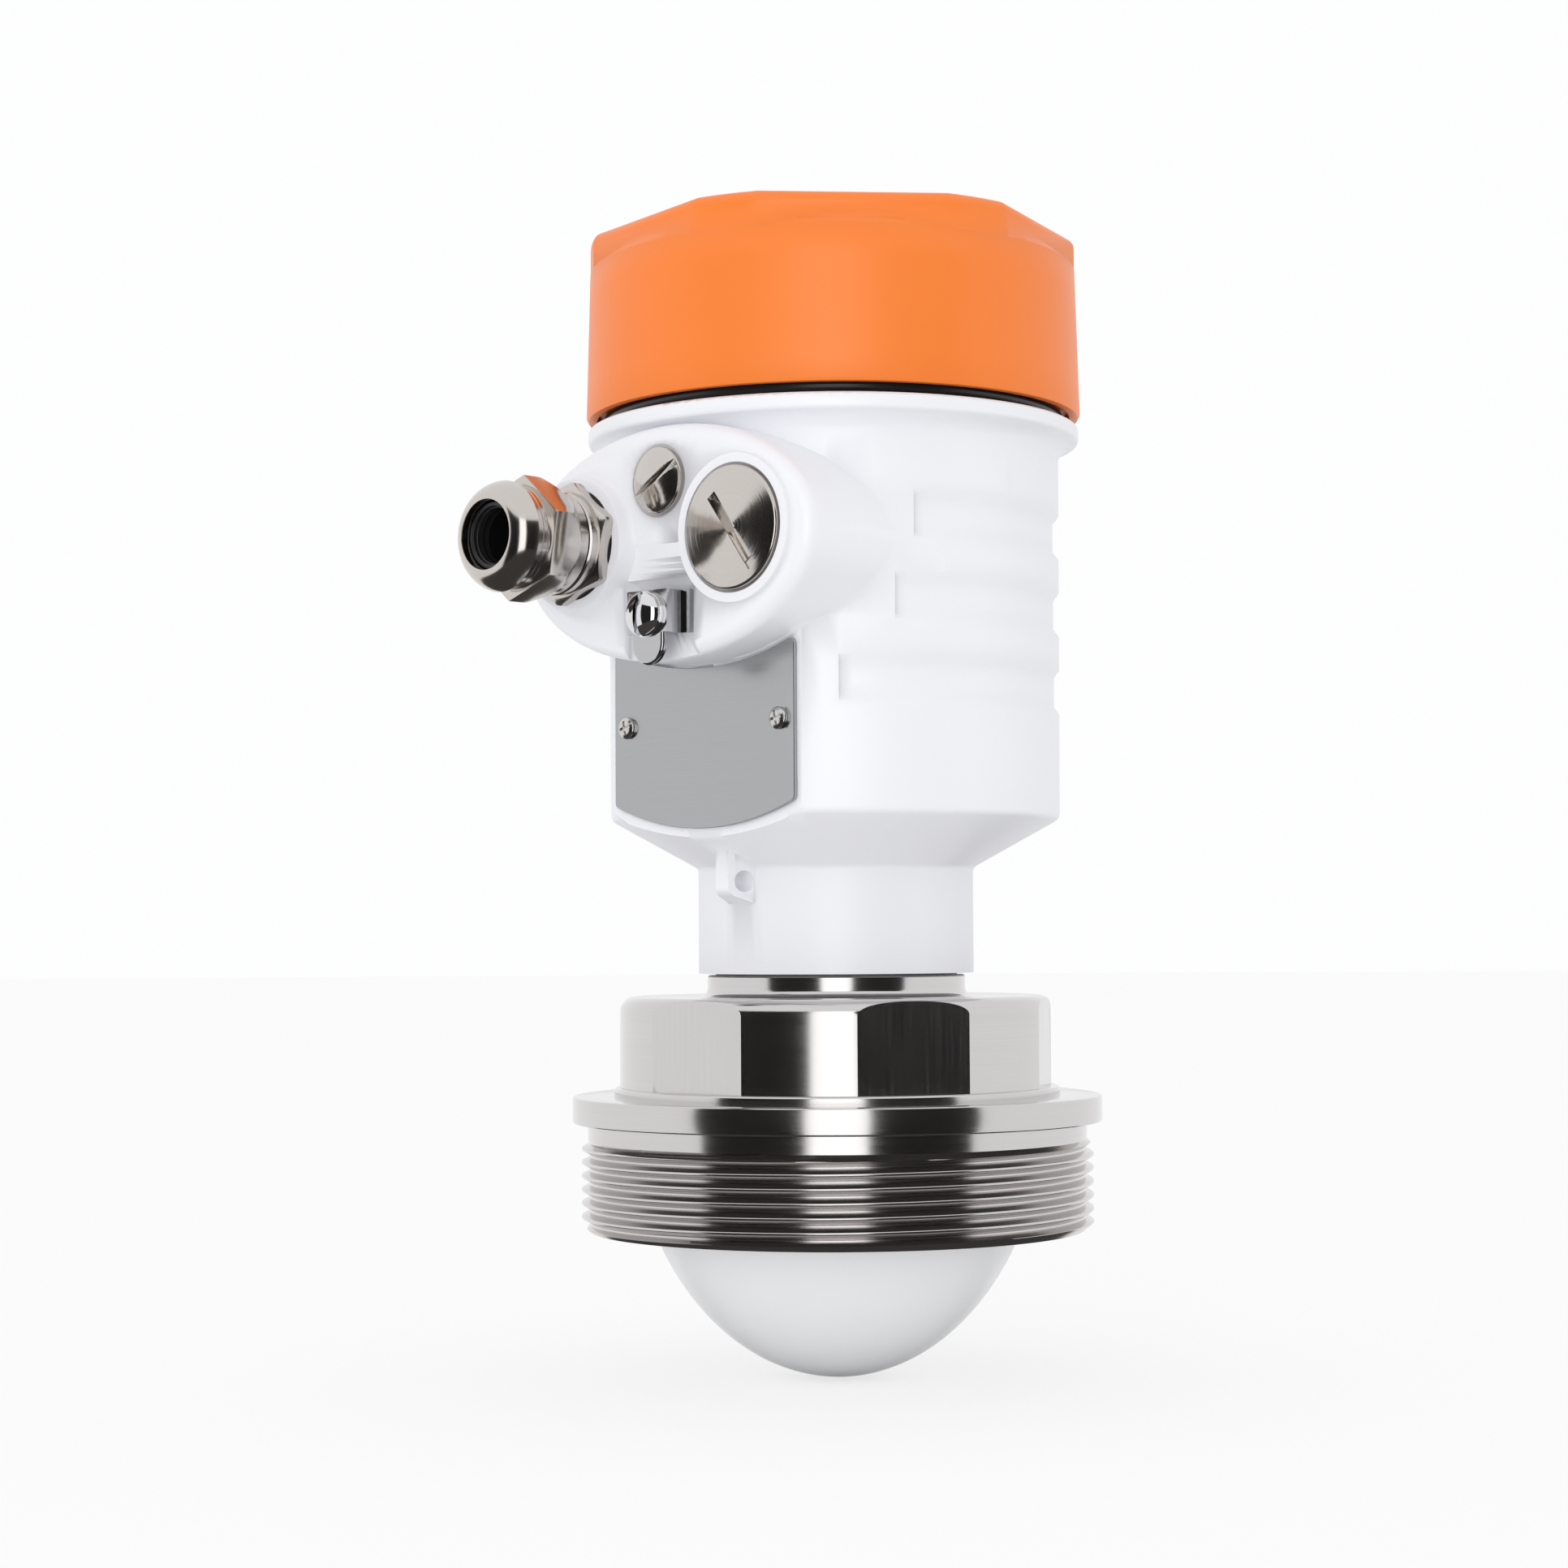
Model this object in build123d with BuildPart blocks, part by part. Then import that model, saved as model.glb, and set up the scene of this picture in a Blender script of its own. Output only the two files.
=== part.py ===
"""Radar level sensor with a screwed process fitting, in millimetres.

The origin is on the thread axis, level with the underside of the sealing
collar. +Z runs up through the housing to the lid, and the two cable entries
face -Y. The microwave lens hangs below the thread, inside the vessel.
"""

import math
import os

from build123d import *

os.makedirs("parts", exist_ok=True)

# Clearances
running_gap = 0.05
thread_gap = 0.08
seat_gap = 0.02
moving_gap = 0.3

# Process thread, a 3 inch parallel pipe thread
thread_diameter = 87.884
thread_length = 14.2
relief_diameter = 85.6
relief_length = 3.0
thread_lead_in = 1.3

# Turned process fitting
collar_diameter = 90.9
collar_thickness = 4.5
base_ring_diameter = 76.6
base_ring_height = 1.5
hex_diameter = 74.6
hex_across_flats = 72.0
hex_height = 17.0
hex_crown_radius = 2.6
hex_clock = 1.8
step_diameter = 44.4
step_height = 3.6
step_ledge = 3.2
stem_bore = 16.0
stem_above_floor = 4.5
antenna_bore = 64.0
antenna_bore_height = 17.0

# Housing casting, from the neck up
neck_diameter = 47.4
neck_height = 18.0
cone_angle = 29.0
barrel_bottom_diameter = 77.4
barrel_top_diameter = 78.0
barrel_height = 62.1
cove_height = 2.7
rim_diameter = 85.0
rim_height = 2.7
housing_floor_rise = 5.6
floor_cone_height = 6.6
cavity_diameter = 69.2
casting_wall = 3.2
lid_thread_depth = 13.2
washer_recess = 1.25

# Grip recesses on both sides of the barrel
band_height = 7.4
band_floor_height = 5.2
band_depth = 0.8
band_pitch = 13.35
band_top_below_rim = 19.1
band_starts = (61.0, 56.2, 42.5)
band_end = 152.0

# Oval entry boss and the flat below it
boss_width = 66.0
boss_height = 39.0
boss_face = 43.2
boss_wall = 3.8
boss_edge_radius = 2.4
boss_below_rim = 23.0
flat_distance = 32.3
entry_spacing = 34.4
entry_rise = 0.8
pad_diameter = 24.0
pad_proud = 0.8
gland_pad_proud = 3.0
gland_pad_taper = 1.0
plug_recess_diameter = 21.0
plug_recess_depth = 1.0
entry_thread = 16.0
vent_rise = 10.1
vent_recess_depth = 0.5
gasket_width = 1.3
gasket_depth = 1.2
pocket_width = 15.8
pocket_top_drop = 5.9
pocket_depth = 1.4

# Sealing lug under the cone
lug_tip_thickness = 2.9
lug_root_thickness = 5.8
lug_reach = 28.5
lug_tip_drop = 4.6
lug_root_drop = 6.2
lug_hole_diameter = 3.6
lug_hole_reach = 25.6
lug_hole_drop = 2.5

# Screw lid
lid_gap = 1.7
lid_bottom_diameter = 85.6
lid_shoulder_diameter = 84.2
lid_height = 31.8
grip_height = 6.2
grip_across_flats = 78.0
grip_shoulder_angle = 40.0
lid_edge_radius = 2.0
lid_clock = 46.8
lid_wall = 3.0
lid_inner_diameter = 72.0
spigot_diameter = 72.0
spigot_length = 12.6
spigot_wall = 3.0
seal_section = 2.9
seal_diameter = 76.8
skirt_wall = 2.1

# Cable gland
gland_across_flats = 18.0
gland_hex_thickness = 2.4
gland_collar_diameter = 17.4
gland_collar_length = 1.7
gland_thread_diameter = 15.2
gland_thread_length = 8.8
gland_bore = 13.8
gland_turn = 20.0
nut_gap = 0.4
nut_skirt_length = 2.1
nut_hex_length = 6.1
nut_bevel_length = 2.4
nut_neck_length = 3.3
nut_dome_length = 3.6
nut_skirt_diameter = 17.5
nut_neck_diameter = 17.2
nut_dome_diameter = 18.5
nut_shoulder_diameter = 16.7
nut_front_diameter = 12.2
nut_opening = 11.4
cage_wall = 0.7
cable_bore = 9.0
seal_length = 9.0

# Screw plugs
plug_head_diameter = 20.2
plug_head_thickness = 1.6
plug_slot_width = 1.9
plug_slot_length = 13.6
plug_slot_depth = 1.0
plug_slot_angle = -53.6
plug_shank_length = 8.0
vent_head_diameter = 11.1
vent_rim_thickness = 1.1
vent_dome_rise = 0.8
vent_slot_width = 1.3
vent_slot_angle = 30.6
vent_thread = 8.0
vent_shank_length = 6.0
vent_channel = 3.0

# Outer earth terminal
earth_offset = 0.4
earth_drop = 12.1
earth_plate = 1.0
earth_width = 9.0
earth_square_height = 7.0
earth_tongue_length = 5.2
earth_foot_width = 3.0
earth_rise = 3.6
earth_screw_diameter = 4.0
earth_head_diameter = 7.6
earth_head_height = 2.8
earth_screw_length = 9.8
earth_hole_depth = 6.6
earth_boss_diameter = 9.0
earth_boss_length = 5.0

# Nameplate
plate_width = 41.0
plate_thickness = 0.8
plate_top_gap = 0.5
plate_side_height = 53.8
plate_mid_height = 49.6
plate_screw_spacing = 34.6
plate_screw_height = 67.0
plate_screw_diameter = 2.4
plate_screw_head = 3.7
plate_screw_length = 2.6

# Parts inside the housing
insert_bottom_gap = 0.6
insert_height = 27.0
insert_deck_step = 3.0
terminal_width = 30.0
terminal_depth = 12.0
terminal_height = 9.0
terminal_count = 4
terminal_pitch = 7.0
terminal_screw_diameter = 3.6

# Parts inside the process fitting
lens_protrusion = 25.2
lens_radial_axis = 36.0
lens_length_axis = 48.2
lens_shank_height = 13.6
lens_wall = 7.0
lens_seal_section = 2.6
lens_seal_height = 5.0
retainer_height = 4.0
retainer_wall = 4.6
horn_throat = 6.0
horn_wall = 1.2
horn_flange = 2.0
board_thickness = 1.6
board_diameter = 52.0
shield_height = 3.4
shield_diameter = 30.0
washer_thickness = 1.2
stem_seal_section = 2.0
stem_seal_pitch = 6.0
stem_seal_height = 4.0
clip_thickness = 1.2
clip_width = 2.6
clip_opening = 60.0

# Heights that follow from the stack
collar_top = collar_thickness
base_ring_top = collar_top + base_ring_height
hex_top = collar_top + hex_height
step_top = hex_top + step_height
neck_bottom = step_top + moving_gap
neck_top = neck_bottom + neck_height
cone_rise = (barrel_bottom_diameter - neck_diameter) / 2 * math.tan(math.radians(cone_angle))
barrel_bottom = neck_top + cone_rise
barrel_top = barrel_bottom + barrel_height
rim_bottom = barrel_top + cove_height
rim_top = rim_bottom + rim_height
lid_bottom = rim_top + lid_gap
lid_top = lid_bottom + lid_height
grip_bottom = lid_top - grip_height
floor_height = neck_top + housing_floor_rise
thread_top = -relief_length - (thread_diameter - relief_diameter) / 2
thread_bottom = thread_top - thread_length
fitting_bottom = thread_bottom
boss_centre = rim_top - boss_below_rim
entry_height = boss_centre + entry_rise
vent_height = boss_centre + vent_rise
gland_x = -entry_spacing / 2
gland_line = Axis((gland_x, 0, entry_height), (0, 1, 0))
gland_section = Plane(origin=(gland_x, 0, entry_height), x_dir=(1, 0, 0), z_dir=(0, 0, 1))
pad_face = boss_face + pad_proud
gland_seat = boss_face + gland_pad_proud
plug_seat = pad_face - plug_recess_depth
gasket_radius = entry_thread / 2 + gasket_width


def ray_plane(azimuth):
    """Plane through the axis: local x runs outwards at this azimuth from -Y, local y is up."""
    angle = math.radians(azimuth - 90)
    outwards = (math.cos(angle), math.sin(angle), 0)
    sideways = (math.sin(angle), -math.cos(angle), 0)
    return Plane(origin=(0, 0, 0), x_dir=outwards, z_dir=sideways)


def front_plane(distance):
    """Upright plane facing -Y at this distance in front of the axis."""
    return Plane.XZ.offset(distance)


def gland_plane(distance):
    """Plane square to the gland's axis, with its origin on that axis."""
    return Plane(origin=(gland_x, -distance, entry_height), x_dir=(1, 0, 0), z_dir=(0, -1, 0))


def ring_points(*points):
    """Turn (radius, distance from the housing's axis) pairs into points of the gland's section."""
    return [(radius, -distance) for radius, distance in points]


# Process fitting, turned from bar with six milled flats
hex_radius = hex_diameter / 2
collar_radius = collar_diameter / 2
stem_diameter = step_diameter - 2 * step_ledge
stem_top = floor_height + stem_above_floor
stem_groove = stem_diameter / 2 - stem_seal_section + 0.2
clip_bottom = floor_height + moving_gap
clip_groove_radius = stem_diameter / 2 - 1.2
antenna_radius = antenna_bore / 2
antenna_roof = fitting_bottom + lens_shank_height + antenna_bore_height + retainer_height

with BuildPart() as process_fitting:
    with BuildSketch(Plane.XZ):
        with BuildLine():
            Polyline(
                (0, fitting_bottom),
                (thread_diameter / 2 - thread_lead_in, fitting_bottom),
                (thread_diameter / 2, fitting_bottom + thread_lead_in),
                (thread_diameter / 2, thread_top),
                (relief_diameter / 2, -relief_length),
                (relief_diameter / 2, 0),
                (collar_radius, 0),
                (collar_radius, collar_top),
                (base_ring_diameter / 2, collar_top),
                (base_ring_diameter / 2, base_ring_top),
                (hex_radius, base_ring_top),
                (hex_radius, hex_top),
                (step_diameter / 2, hex_top),
                (step_diameter / 2, step_top),
                (stem_diameter / 2, step_top),
                (stem_diameter / 2, stem_top),
                (0, stem_top),
                close=True,
            )
        make_face()
    revolve(axis=Axis.Z)
    rim_edges = process_fitting.edges().filter_by(GeomType.CIRCLE)
    fillet(rim_edges.filter_by(lambda e: abs(e.radius - hex_radius) < 0.01 and abs(e.center().Z - hex_top) < 0.01),
           radius=hex_crown_radius)
    foot = process_fitting.edges().filter_by(GeomType.CIRCLE).filter_by(
        lambda e: abs(e.radius - step_diameter / 2) < 0.01 and abs(e.center().Z - hex_top) < 0.01)
    fillet(foot, radius=1.4)
    ring_edge = process_fitting.edges().filter_by(GeomType.CIRCLE).filter_by(
        lambda e: abs(e.radius - base_ring_diameter / 2) < 0.01 and abs(e.center().Z - base_ring_top) < 0.01)
    fillet(ring_edge, radius=0.6)
    collar_edges = process_fitting.edges().filter_by(GeomType.CIRCLE).filter_by(
        lambda e: abs(e.radius - collar_radius) < 0.01)
    fillet(collar_edges, radius=0.4)
    for side in range(6):
        with BuildSketch(ray_plane(hex_clock + 60 * side)):
            with BuildLine():
                Polyline(
                    (hex_across_flats / 2, base_ring_top),
                    (hex_radius + 4, base_ring_top),
                    (hex_radius + 4, hex_top + 1),
                    (hex_across_flats / 2, hex_top + 1),
                    close=True,
                )
            make_face()
        extrude(amount=hex_radius / 2, both=True, mode=Mode.SUBTRACT)
    with BuildSketch(Plane.XZ):
        with BuildLine():
            Polyline(
                (0, fitting_bottom),
                (antenna_radius, fitting_bottom),
                (antenna_radius, antenna_roof - 3),
                (antenna_radius - 3, antenna_roof),
                (stem_bore / 2, antenna_roof),
                (stem_bore / 2, stem_top),
                (0, stem_top),
                close=True,
            )
        make_face()
    revolve(axis=Axis.Z, mode=Mode.SUBTRACT)
    with BuildSketch(Plane.XZ):
        for row in range(2):
            groove_centre = step_top + stem_seal_height + row * stem_seal_pitch
            with Locations((stem_groove, groove_centre)):
                Rectangle(stem_seal_section + 1, stem_seal_section + 0.4, align=(Align.MIN, Align.CENTER))
        with Locations((clip_groove_radius, clip_bottom + clip_thickness / 2)):
            Rectangle(2, clip_thickness + 2 * running_gap, align=(Align.MIN, Align.CENTER))
    revolve(axis=Axis.Z, mode=Mode.SUBTRACT)
process_fitting.part.label = "process_fitting"
export_step(process_fitting.part, "parts/process_fitting.step")

# O-rings of the swivelling joint, in the grooves of the stem
seal_radius = (stem_seal_section - 0.3) / 2
with BuildPart() as stem_seals:
    for row in range(2):
        with Locations((0, 0, step_top + stem_seal_height + row * stem_seal_pitch)):
            Torus(stem_diameter / 2 + running_gap / 2 - seal_radius, seal_radius)
stem_seals.part.label = "stem_seals"
export_step(stem_seals.part, "parts/stem_seals.step")

# Slide washer that the neck turns on
neck_bore = stem_diameter + 2 * running_gap
recess_diameter = step_diameter - 2.4
washer_bottom = step_top
with BuildPart() as slide_washer:
    with BuildSketch(Plane.XY.offset(washer_bottom)):
        Circle(recess_diameter / 2 - 0.2)
        Circle(stem_diameter / 2 + 0.1, mode=Mode.SUBTRACT)
    extrude(amount=washer_thickness)
slide_washer.part.label = "slide_washer"
export_step(slide_washer.part, "parts/slide_washer.step")

# Retaining clip in the stem's groove, above the housing floor
with BuildPart() as retaining_clip:
    with BuildSketch(Plane.XY.offset(clip_bottom)):
        Circle(stem_diameter / 2 + clip_width)
        Circle(clip_groove_radius + 0.1, mode=Mode.SUBTRACT)
        with BuildLine():
            reach = stem_diameter
            half_gap = math.radians(clip_opening / 2)
            Polyline(
                (0, 0),
                (reach * math.sin(half_gap), reach * math.cos(half_gap)),
                (-reach * math.sin(half_gap), reach * math.cos(half_gap)),
                close=True,
            )
        make_face(mode=Mode.SUBTRACT)
    extrude(amount=clip_thickness)
retaining_clip.part.label = "retaining_clip"
export_step(retaining_clip.part, "parts/retaining_clip.step")

# Lens, the white dome that looks into the vessel
lens_top = fitting_bottom + lens_shank_height
lens_bottom = fitting_bottom - lens_protrusion
lens_centre = lens_bottom + lens_length_axis
lens_shank_radius = antenna_radius - 0.1
lens_mouth_height = lens_centre - lens_length_axis * math.sqrt(1 - (lens_shank_radius / lens_radial_axis) ** 2)
lens_seal_radius = lens_seal_section / 2
lens_groove_radius = antenna_radius - seat_gap - lens_seal_section - seat_gap
inner_radial = lens_radial_axis - lens_wall
inner_length = lens_length_axis - lens_wall
inner_mouth = lens_centre - inner_length * 0.35
inner_mouth_radius = inner_radial * math.sqrt(1 - 0.35 ** 2)
lens_opening = min(inner_mouth_radius, lens_shank_radius - retainer_wall)

with BuildPart() as lens:
    with BuildSketch(Plane.XZ):
        with BuildLine():
            tip_angle = -90
            mouth_angle = -math.degrees(math.acos(lens_shank_radius / lens_radial_axis))
            bowl = EllipticalCenterArc((0, lens_centre), lens_radial_axis, lens_length_axis,
                                       start_angle=tip_angle, arc_size=mouth_angle - tip_angle)
            Polyline(bowl @ 1, (lens_shank_radius, lens_top), (0, lens_top), (0, lens_bottom))
        make_face()
    revolve(axis=Axis.Z)
    with BuildSketch(Plane.XZ):
        with BuildLine():
            hollow_angle = -math.degrees(math.acos(lens_opening / inner_radial))
            hollow = EllipticalCenterArc((0, lens_centre), inner_radial, inner_length,
                                         start_angle=tip_angle, arc_size=hollow_angle - tip_angle)
            Polyline(hollow @ 1, (lens_opening, lens_top), (0, lens_top), (0, lens_centre - inner_length))
        make_face()
    revolve(axis=Axis.Z, mode=Mode.SUBTRACT)
    with BuildSketch(Plane.XZ):
        with Locations((lens_groove_radius, fitting_bottom + lens_seal_height)):
            Rectangle(lens_seal_section + 1, lens_seal_section + 0.4, align=(Align.MIN, Align.CENTER))
    revolve(axis=Axis.Z, mode=Mode.SUBTRACT)
lens.part.label = "lens"
export_step(lens.part, "parts/lens.step")

with BuildPart() as lens_seal:
    with Locations((0, 0, fitting_bottom + lens_seal_height)):
        Torus(antenna_radius - seat_gap - lens_seal_radius, lens_seal_radius)
lens_seal.part.label = "lens_seal"
export_step(lens_seal.part, "parts/lens_seal.step")

# Threaded ring that holds the lens in the fitting
with BuildPart() as lens_retainer:
    with BuildSketch(Plane.XY.offset(lens_top + seat_gap)):
        Circle(lens_shank_radius)
        Circle(lens_shank_radius - retainer_wall, mode=Mode.SUBTRACT)
    extrude(amount=retainer_height)
    with Locations((0, 0, lens_top + seat_gap + retainer_height - 1.5)):
        with PolarLocations(lens_shank_radius - retainer_wall, 4):
            Box(3, 3, 3.2, mode=Mode.SUBTRACT)
lens_retainer.part.label = "lens_retainer"
export_step(lens_retainer.part, "parts/lens_retainer.step")

# Horn that feeds the lens, hung on its flange above the retaining ring
horn_flange_bottom = lens_top + 2 * seat_gap + retainer_height
horn_mouth_radius = lens_shank_radius - retainer_wall - 1
horn_mouth = lens_top - 2
board_bottom = antenna_roof - board_thickness - shield_height - seat_gap
with BuildPart() as antenna_horn:
    with BuildSketch(Plane.XZ):
        with BuildLine():
            Polyline(
                (horn_throat / 2, board_bottom - seat_gap),
                (horn_throat / 2, board_bottom - 5),
                (horn_mouth_radius - horn_wall, horn_mouth),
                (horn_mouth_radius, horn_mouth),
                (horn_mouth_radius, horn_flange_bottom),
                (lens_shank_radius, horn_flange_bottom),
                (lens_shank_radius, horn_flange_bottom + horn_flange),
                (horn_mouth_radius - horn_wall, horn_flange_bottom + horn_flange),
                (horn_throat / 2 + 3, board_bottom - 5),
                (horn_throat / 2 + 3, board_bottom - seat_gap),
                close=True,
            )
        make_face()
    revolve(axis=Axis.Z)
antenna_horn.part.label = "antenna_horn"
export_step(antenna_horn.part, "parts/antenna_horn.step")

# Microwave board and its shield can under the fitting's roof
with BuildPart() as radar_board:
    with BuildSketch(Plane.XY.offset(board_bottom)):
        Circle(board_diameter / 2)
        with PolarLocations(board_diameter / 2, 3):
            Circle(2.4, mode=Mode.SUBTRACT)
    extrude(amount=board_thickness)
radar_board.part.label = "radar_board"
export_step(radar_board.part, "parts/radar_board.step")

with BuildPart() as shield_can:
    with BuildSketch(Plane.XY.offset(board_bottom + board_thickness)):
        RectangleRounded(shield_diameter, shield_diameter, 3)
    extrude(amount=shield_height - seat_gap)
    fillet(shield_can.faces().sort_by(Axis.Z)[-1].edges(), radius=0.6)
shield_can.part.label = "shield_can"
export_step(shield_can.part, "parts/shield_can.step")

# Housing casting
cavity_radius = cavity_diameter / 2
inner_flat = flat_distance - casting_wall
spigot_bore = spigot_diameter / 2 + thread_gap
entry_hole = entry_thread / 2 + running_gap
vent_hole = vent_thread / 2 + running_gap
earth_height = boss_centre - earth_drop
earth_hole = earth_screw_diameter / 2 + running_gap
pocket_face = boss_face - pocket_depth
pocket_top = boss_centre - pocket_top_drop
cavity_top = rim_top - lid_thread_depth

with BuildPart() as lug:
    with BuildSketch(Plane.YZ):
        with BuildLine():
            Polyline(
                (-neck_diameter / 2 + 2, neck_top - lug_root_drop - 0.6),
                (-lug_reach, neck_top - lug_tip_drop),
                (-lug_reach, neck_top + 3.4),
                (-neck_diameter / 2 + 2, neck_top + 3.4),
                close=True,
            )
        make_face()
    extrude(amount=lug_root_thickness, both=True)
    fillet(lug.edges().filter_by(Axis.X).sort_by(Axis.Y)[0:2].sort_by(Axis.Z)[0], radius=1.6)
    with BuildSketch(Plane.XY.offset(neck_top - lug_root_drop - 2)):
        with BuildLine():
            Polyline(
                (-lug_tip_thickness / 2, -lug_reach),
                (lug_tip_thickness / 2, -lug_reach),
                (lug_root_thickness / 2, -neck_diameter / 2),
                (lug_root_thickness / 2, 0),
                (-lug_root_thickness / 2, 0),
                (-lug_root_thickness / 2, -neck_diameter / 2),
                close=True,
            )
        make_face()
    extrude(amount=lug_root_drop + 8, mode=Mode.INTERSECT)

with BuildPart() as cavity:
    with BuildSketch(Plane.XZ):
        with BuildLine():
            Polyline(
                (0, floor_height),
                (stem_diameter / 2 + clip_width + 1.5, floor_height),
                (cavity_radius, floor_height + floor_cone_height),
                (cavity_radius, cavity_top),
                (0, cavity_top),
                close=True,
            )
        make_face()
    revolve(axis=Axis.Z)
    with Locations((0, -inner_flat, floor_height)):
        Box(cavity_diameter, cavity_diameter, boss_centre - floor_height,
            align=(Align.CENTER, Align.MAX, Align.MIN), mode=Mode.SUBTRACT)
    with BuildSketch(front_plane(cavity_radius / 2)):
        with Locations((0, boss_centre)):
            Ellipse(boss_width / 2 - boss_wall, boss_height / 2 - boss_wall)
    extrude(amount=boss_face - boss_wall - cavity_radius / 2)
    with BuildSketch(front_plane(boss_face)):
        with Locations((earth_offset, earth_height)):
            Circle(earth_boss_diameter / 2)
    extrude(amount=-(boss_wall + earth_boss_length), mode=Mode.SUBTRACT)

with BuildPart() as housing_body:
    with BuildSketch(Plane.XZ):
        with BuildLine():
            Polyline(
                (rim_diameter / 2, rim_bottom),
                (rim_diameter / 2, rim_top),
                (0, rim_top),
                (0, neck_bottom),
                (neck_diameter / 2, neck_bottom),
                (neck_diameter / 2, neck_top),
                (barrel_bottom_diameter / 2, barrel_bottom),
                (barrel_top_diameter / 2, barrel_top),
            )
            SagittaArc((barrel_top_diameter / 2, barrel_top), (rim_diameter / 2, rim_bottom), 0.7)
        make_face()
    revolve(axis=Axis.Z)
    barrel_edge = housing_body.edges().filter_by(GeomType.CIRCLE).filter_by(
        lambda e: abs(e.center().Z - barrel_bottom) < 0.01)
    fillet(barrel_edge, radius=1.6)
    neck_edge = housing_body.edges().filter_by(GeomType.CIRCLE).filter_by(
        lambda e: abs(e.center().Z - neck_top) < 0.01)
    fillet(neck_edge, radius=1.2)
    rim_edge = housing_body.edges().filter_by(GeomType.CIRCLE).filter_by(
        lambda e: abs(e.radius - rim_diameter / 2) < 0.01)
    fillet(rim_edge, radius=0.7)
    with Locations((0, -flat_distance, neck_top)):
        Box(barrel_top_diameter, barrel_top_diameter, boss_centre - neck_top,
            align=(Align.CENTER, Align.MAX, Align.MIN), mode=Mode.SUBTRACT)
    for row, start in enumerate(band_starts):
        band_centre = rim_top - band_top_below_rim - row * band_pitch
        for side in (1, -1):
            first = start if side > 0 else -band_end
            with BuildSketch(ray_plane(first)):
                with BuildLine():
                    outer = barrel_top_diameter / 2 + 1
                    wall = barrel_bottom_diameter / 2
                    slope = (band_height - band_floor_height) / 2 / band_depth
                    Polyline(
                        (wall - band_depth, band_centre - band_floor_height / 2),
                        (outer, band_centre - band_height / 2 - slope * (outer - wall)),
                        (outer, band_centre + band_height / 2 + slope * (outer - wall)),
                        (wall - band_depth, band_centre + band_floor_height / 2),
                        close=True,
                    )
                make_face()
            revolve(axis=Axis.Z, revolution_arc=band_end - start, mode=Mode.SUBTRACT)
    with BuildSketch(front_plane(cavity_radius / 2)):
        with Locations((0, boss_centre)):
            Ellipse(boss_width / 2, boss_height / 2)
    extrude(amount=boss_face - cavity_radius / 2)
    fillet(housing_body.faces().sort_by(Axis.Y)[0].edges(), radius=boss_edge_radius)
    with BuildSketch(front_plane(pocket_face)):
        with Locations((0, pocket_top)):
            Rectangle(pocket_width, boss_height, align=(Align.CENTER, Align.MAX))
    extrude(amount=pocket_depth + 1, mode=Mode.SUBTRACT)
    with BuildSketch(front_plane(boss_face - boss_wall / 2)):
        with Locations((entry_spacing / 2, entry_height)):
            Circle(pad_diameter / 2)
    extrude(amount=pad_proud + boss_wall / 2)
    with BuildSketch(gland_section):
        with BuildLine():
            Polyline(*ring_points(
                (0, boss_face - boss_wall / 2),
                (pad_diameter / 2, boss_face - boss_wall / 2),
                (pad_diameter / 2, boss_face),
                (pad_diameter / 2 - gland_pad_taper, gland_seat),
                (0, gland_seat),
            ), close=True)
        make_face()
    revolve(axis=gland_line)
    with BuildSketch(front_plane(pad_face)):
        with Locations((entry_spacing / 2, entry_height)):
            Circle(plug_recess_diameter / 2)
    extrude(amount=-plug_recess_depth, mode=Mode.SUBTRACT)
    with BuildSketch(front_plane(boss_face)):
        with Locations((0, vent_height)):
            Circle(vent_head_diameter / 2 + 0.5)
    extrude(amount=-vent_recess_depth, mode=Mode.SUBTRACT)
    add(lug.part)
    with Locations((0, -lug_hole_reach, neck_top - lug_hole_drop)):
        Cylinder(lug_hole_diameter / 2, lug_root_thickness + 2, rotation=(0, 90, 0), mode=Mode.SUBTRACT)
    add(cavity.part, mode=Mode.SUBTRACT)
    with Locations((0, 0, cavity_top)):
        Cylinder(spigot_bore, lid_thread_depth, align=(Align.CENTER, Align.CENTER, Align.MIN),
                 mode=Mode.SUBTRACT)
    with Locations((0, 0, neck_bottom)):
        Cylinder(neck_bore / 2, floor_height - neck_bottom, align=(Align.CENTER, Align.CENTER, Align.MIN),
                 mode=Mode.SUBTRACT)
        Cylinder(recess_diameter / 2, washer_recess - moving_gap + running_gap,
                 align=(Align.CENTER, Align.CENTER, Align.MIN), mode=Mode.SUBTRACT)
    with BuildSketch(front_plane(0)):
        with Locations((-entry_spacing / 2, entry_height), (entry_spacing / 2, entry_height)):
            Circle(entry_hole)
        with Locations((0, vent_height)):
            Circle(vent_hole)
    extrude(amount=gland_seat, mode=Mode.SUBTRACT)
    with BuildSketch(front_plane(gland_seat)):
        with Locations((-entry_spacing / 2, entry_height)):
            Circle(gasket_radius + running_gap)
    extrude(amount=-gasket_depth, mode=Mode.SUBTRACT)
    with BuildSketch(front_plane(plug_seat)):
        with Locations((entry_spacing / 2, entry_height)):
            Circle(gasket_radius + running_gap)
    extrude(amount=-gasket_depth, mode=Mode.SUBTRACT)
    with BuildSketch(front_plane(pocket_face)):
        with Locations((earth_offset, earth_height)):
            Circle(earth_hole)
    extrude(amount=-earth_hole_depth, mode=Mode.SUBTRACT)
    with BuildSketch(front_plane(flat_distance)):
        with GridLocations(plate_screw_spacing, 1, 2, 1):
            with Locations((0, plate_screw_height)):
                Circle(plate_screw_diameter / 2 + running_gap)
    extrude(amount=-plate_screw_length, mode=Mode.SUBTRACT)
housing_body.part.label = "housing_body"
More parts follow.
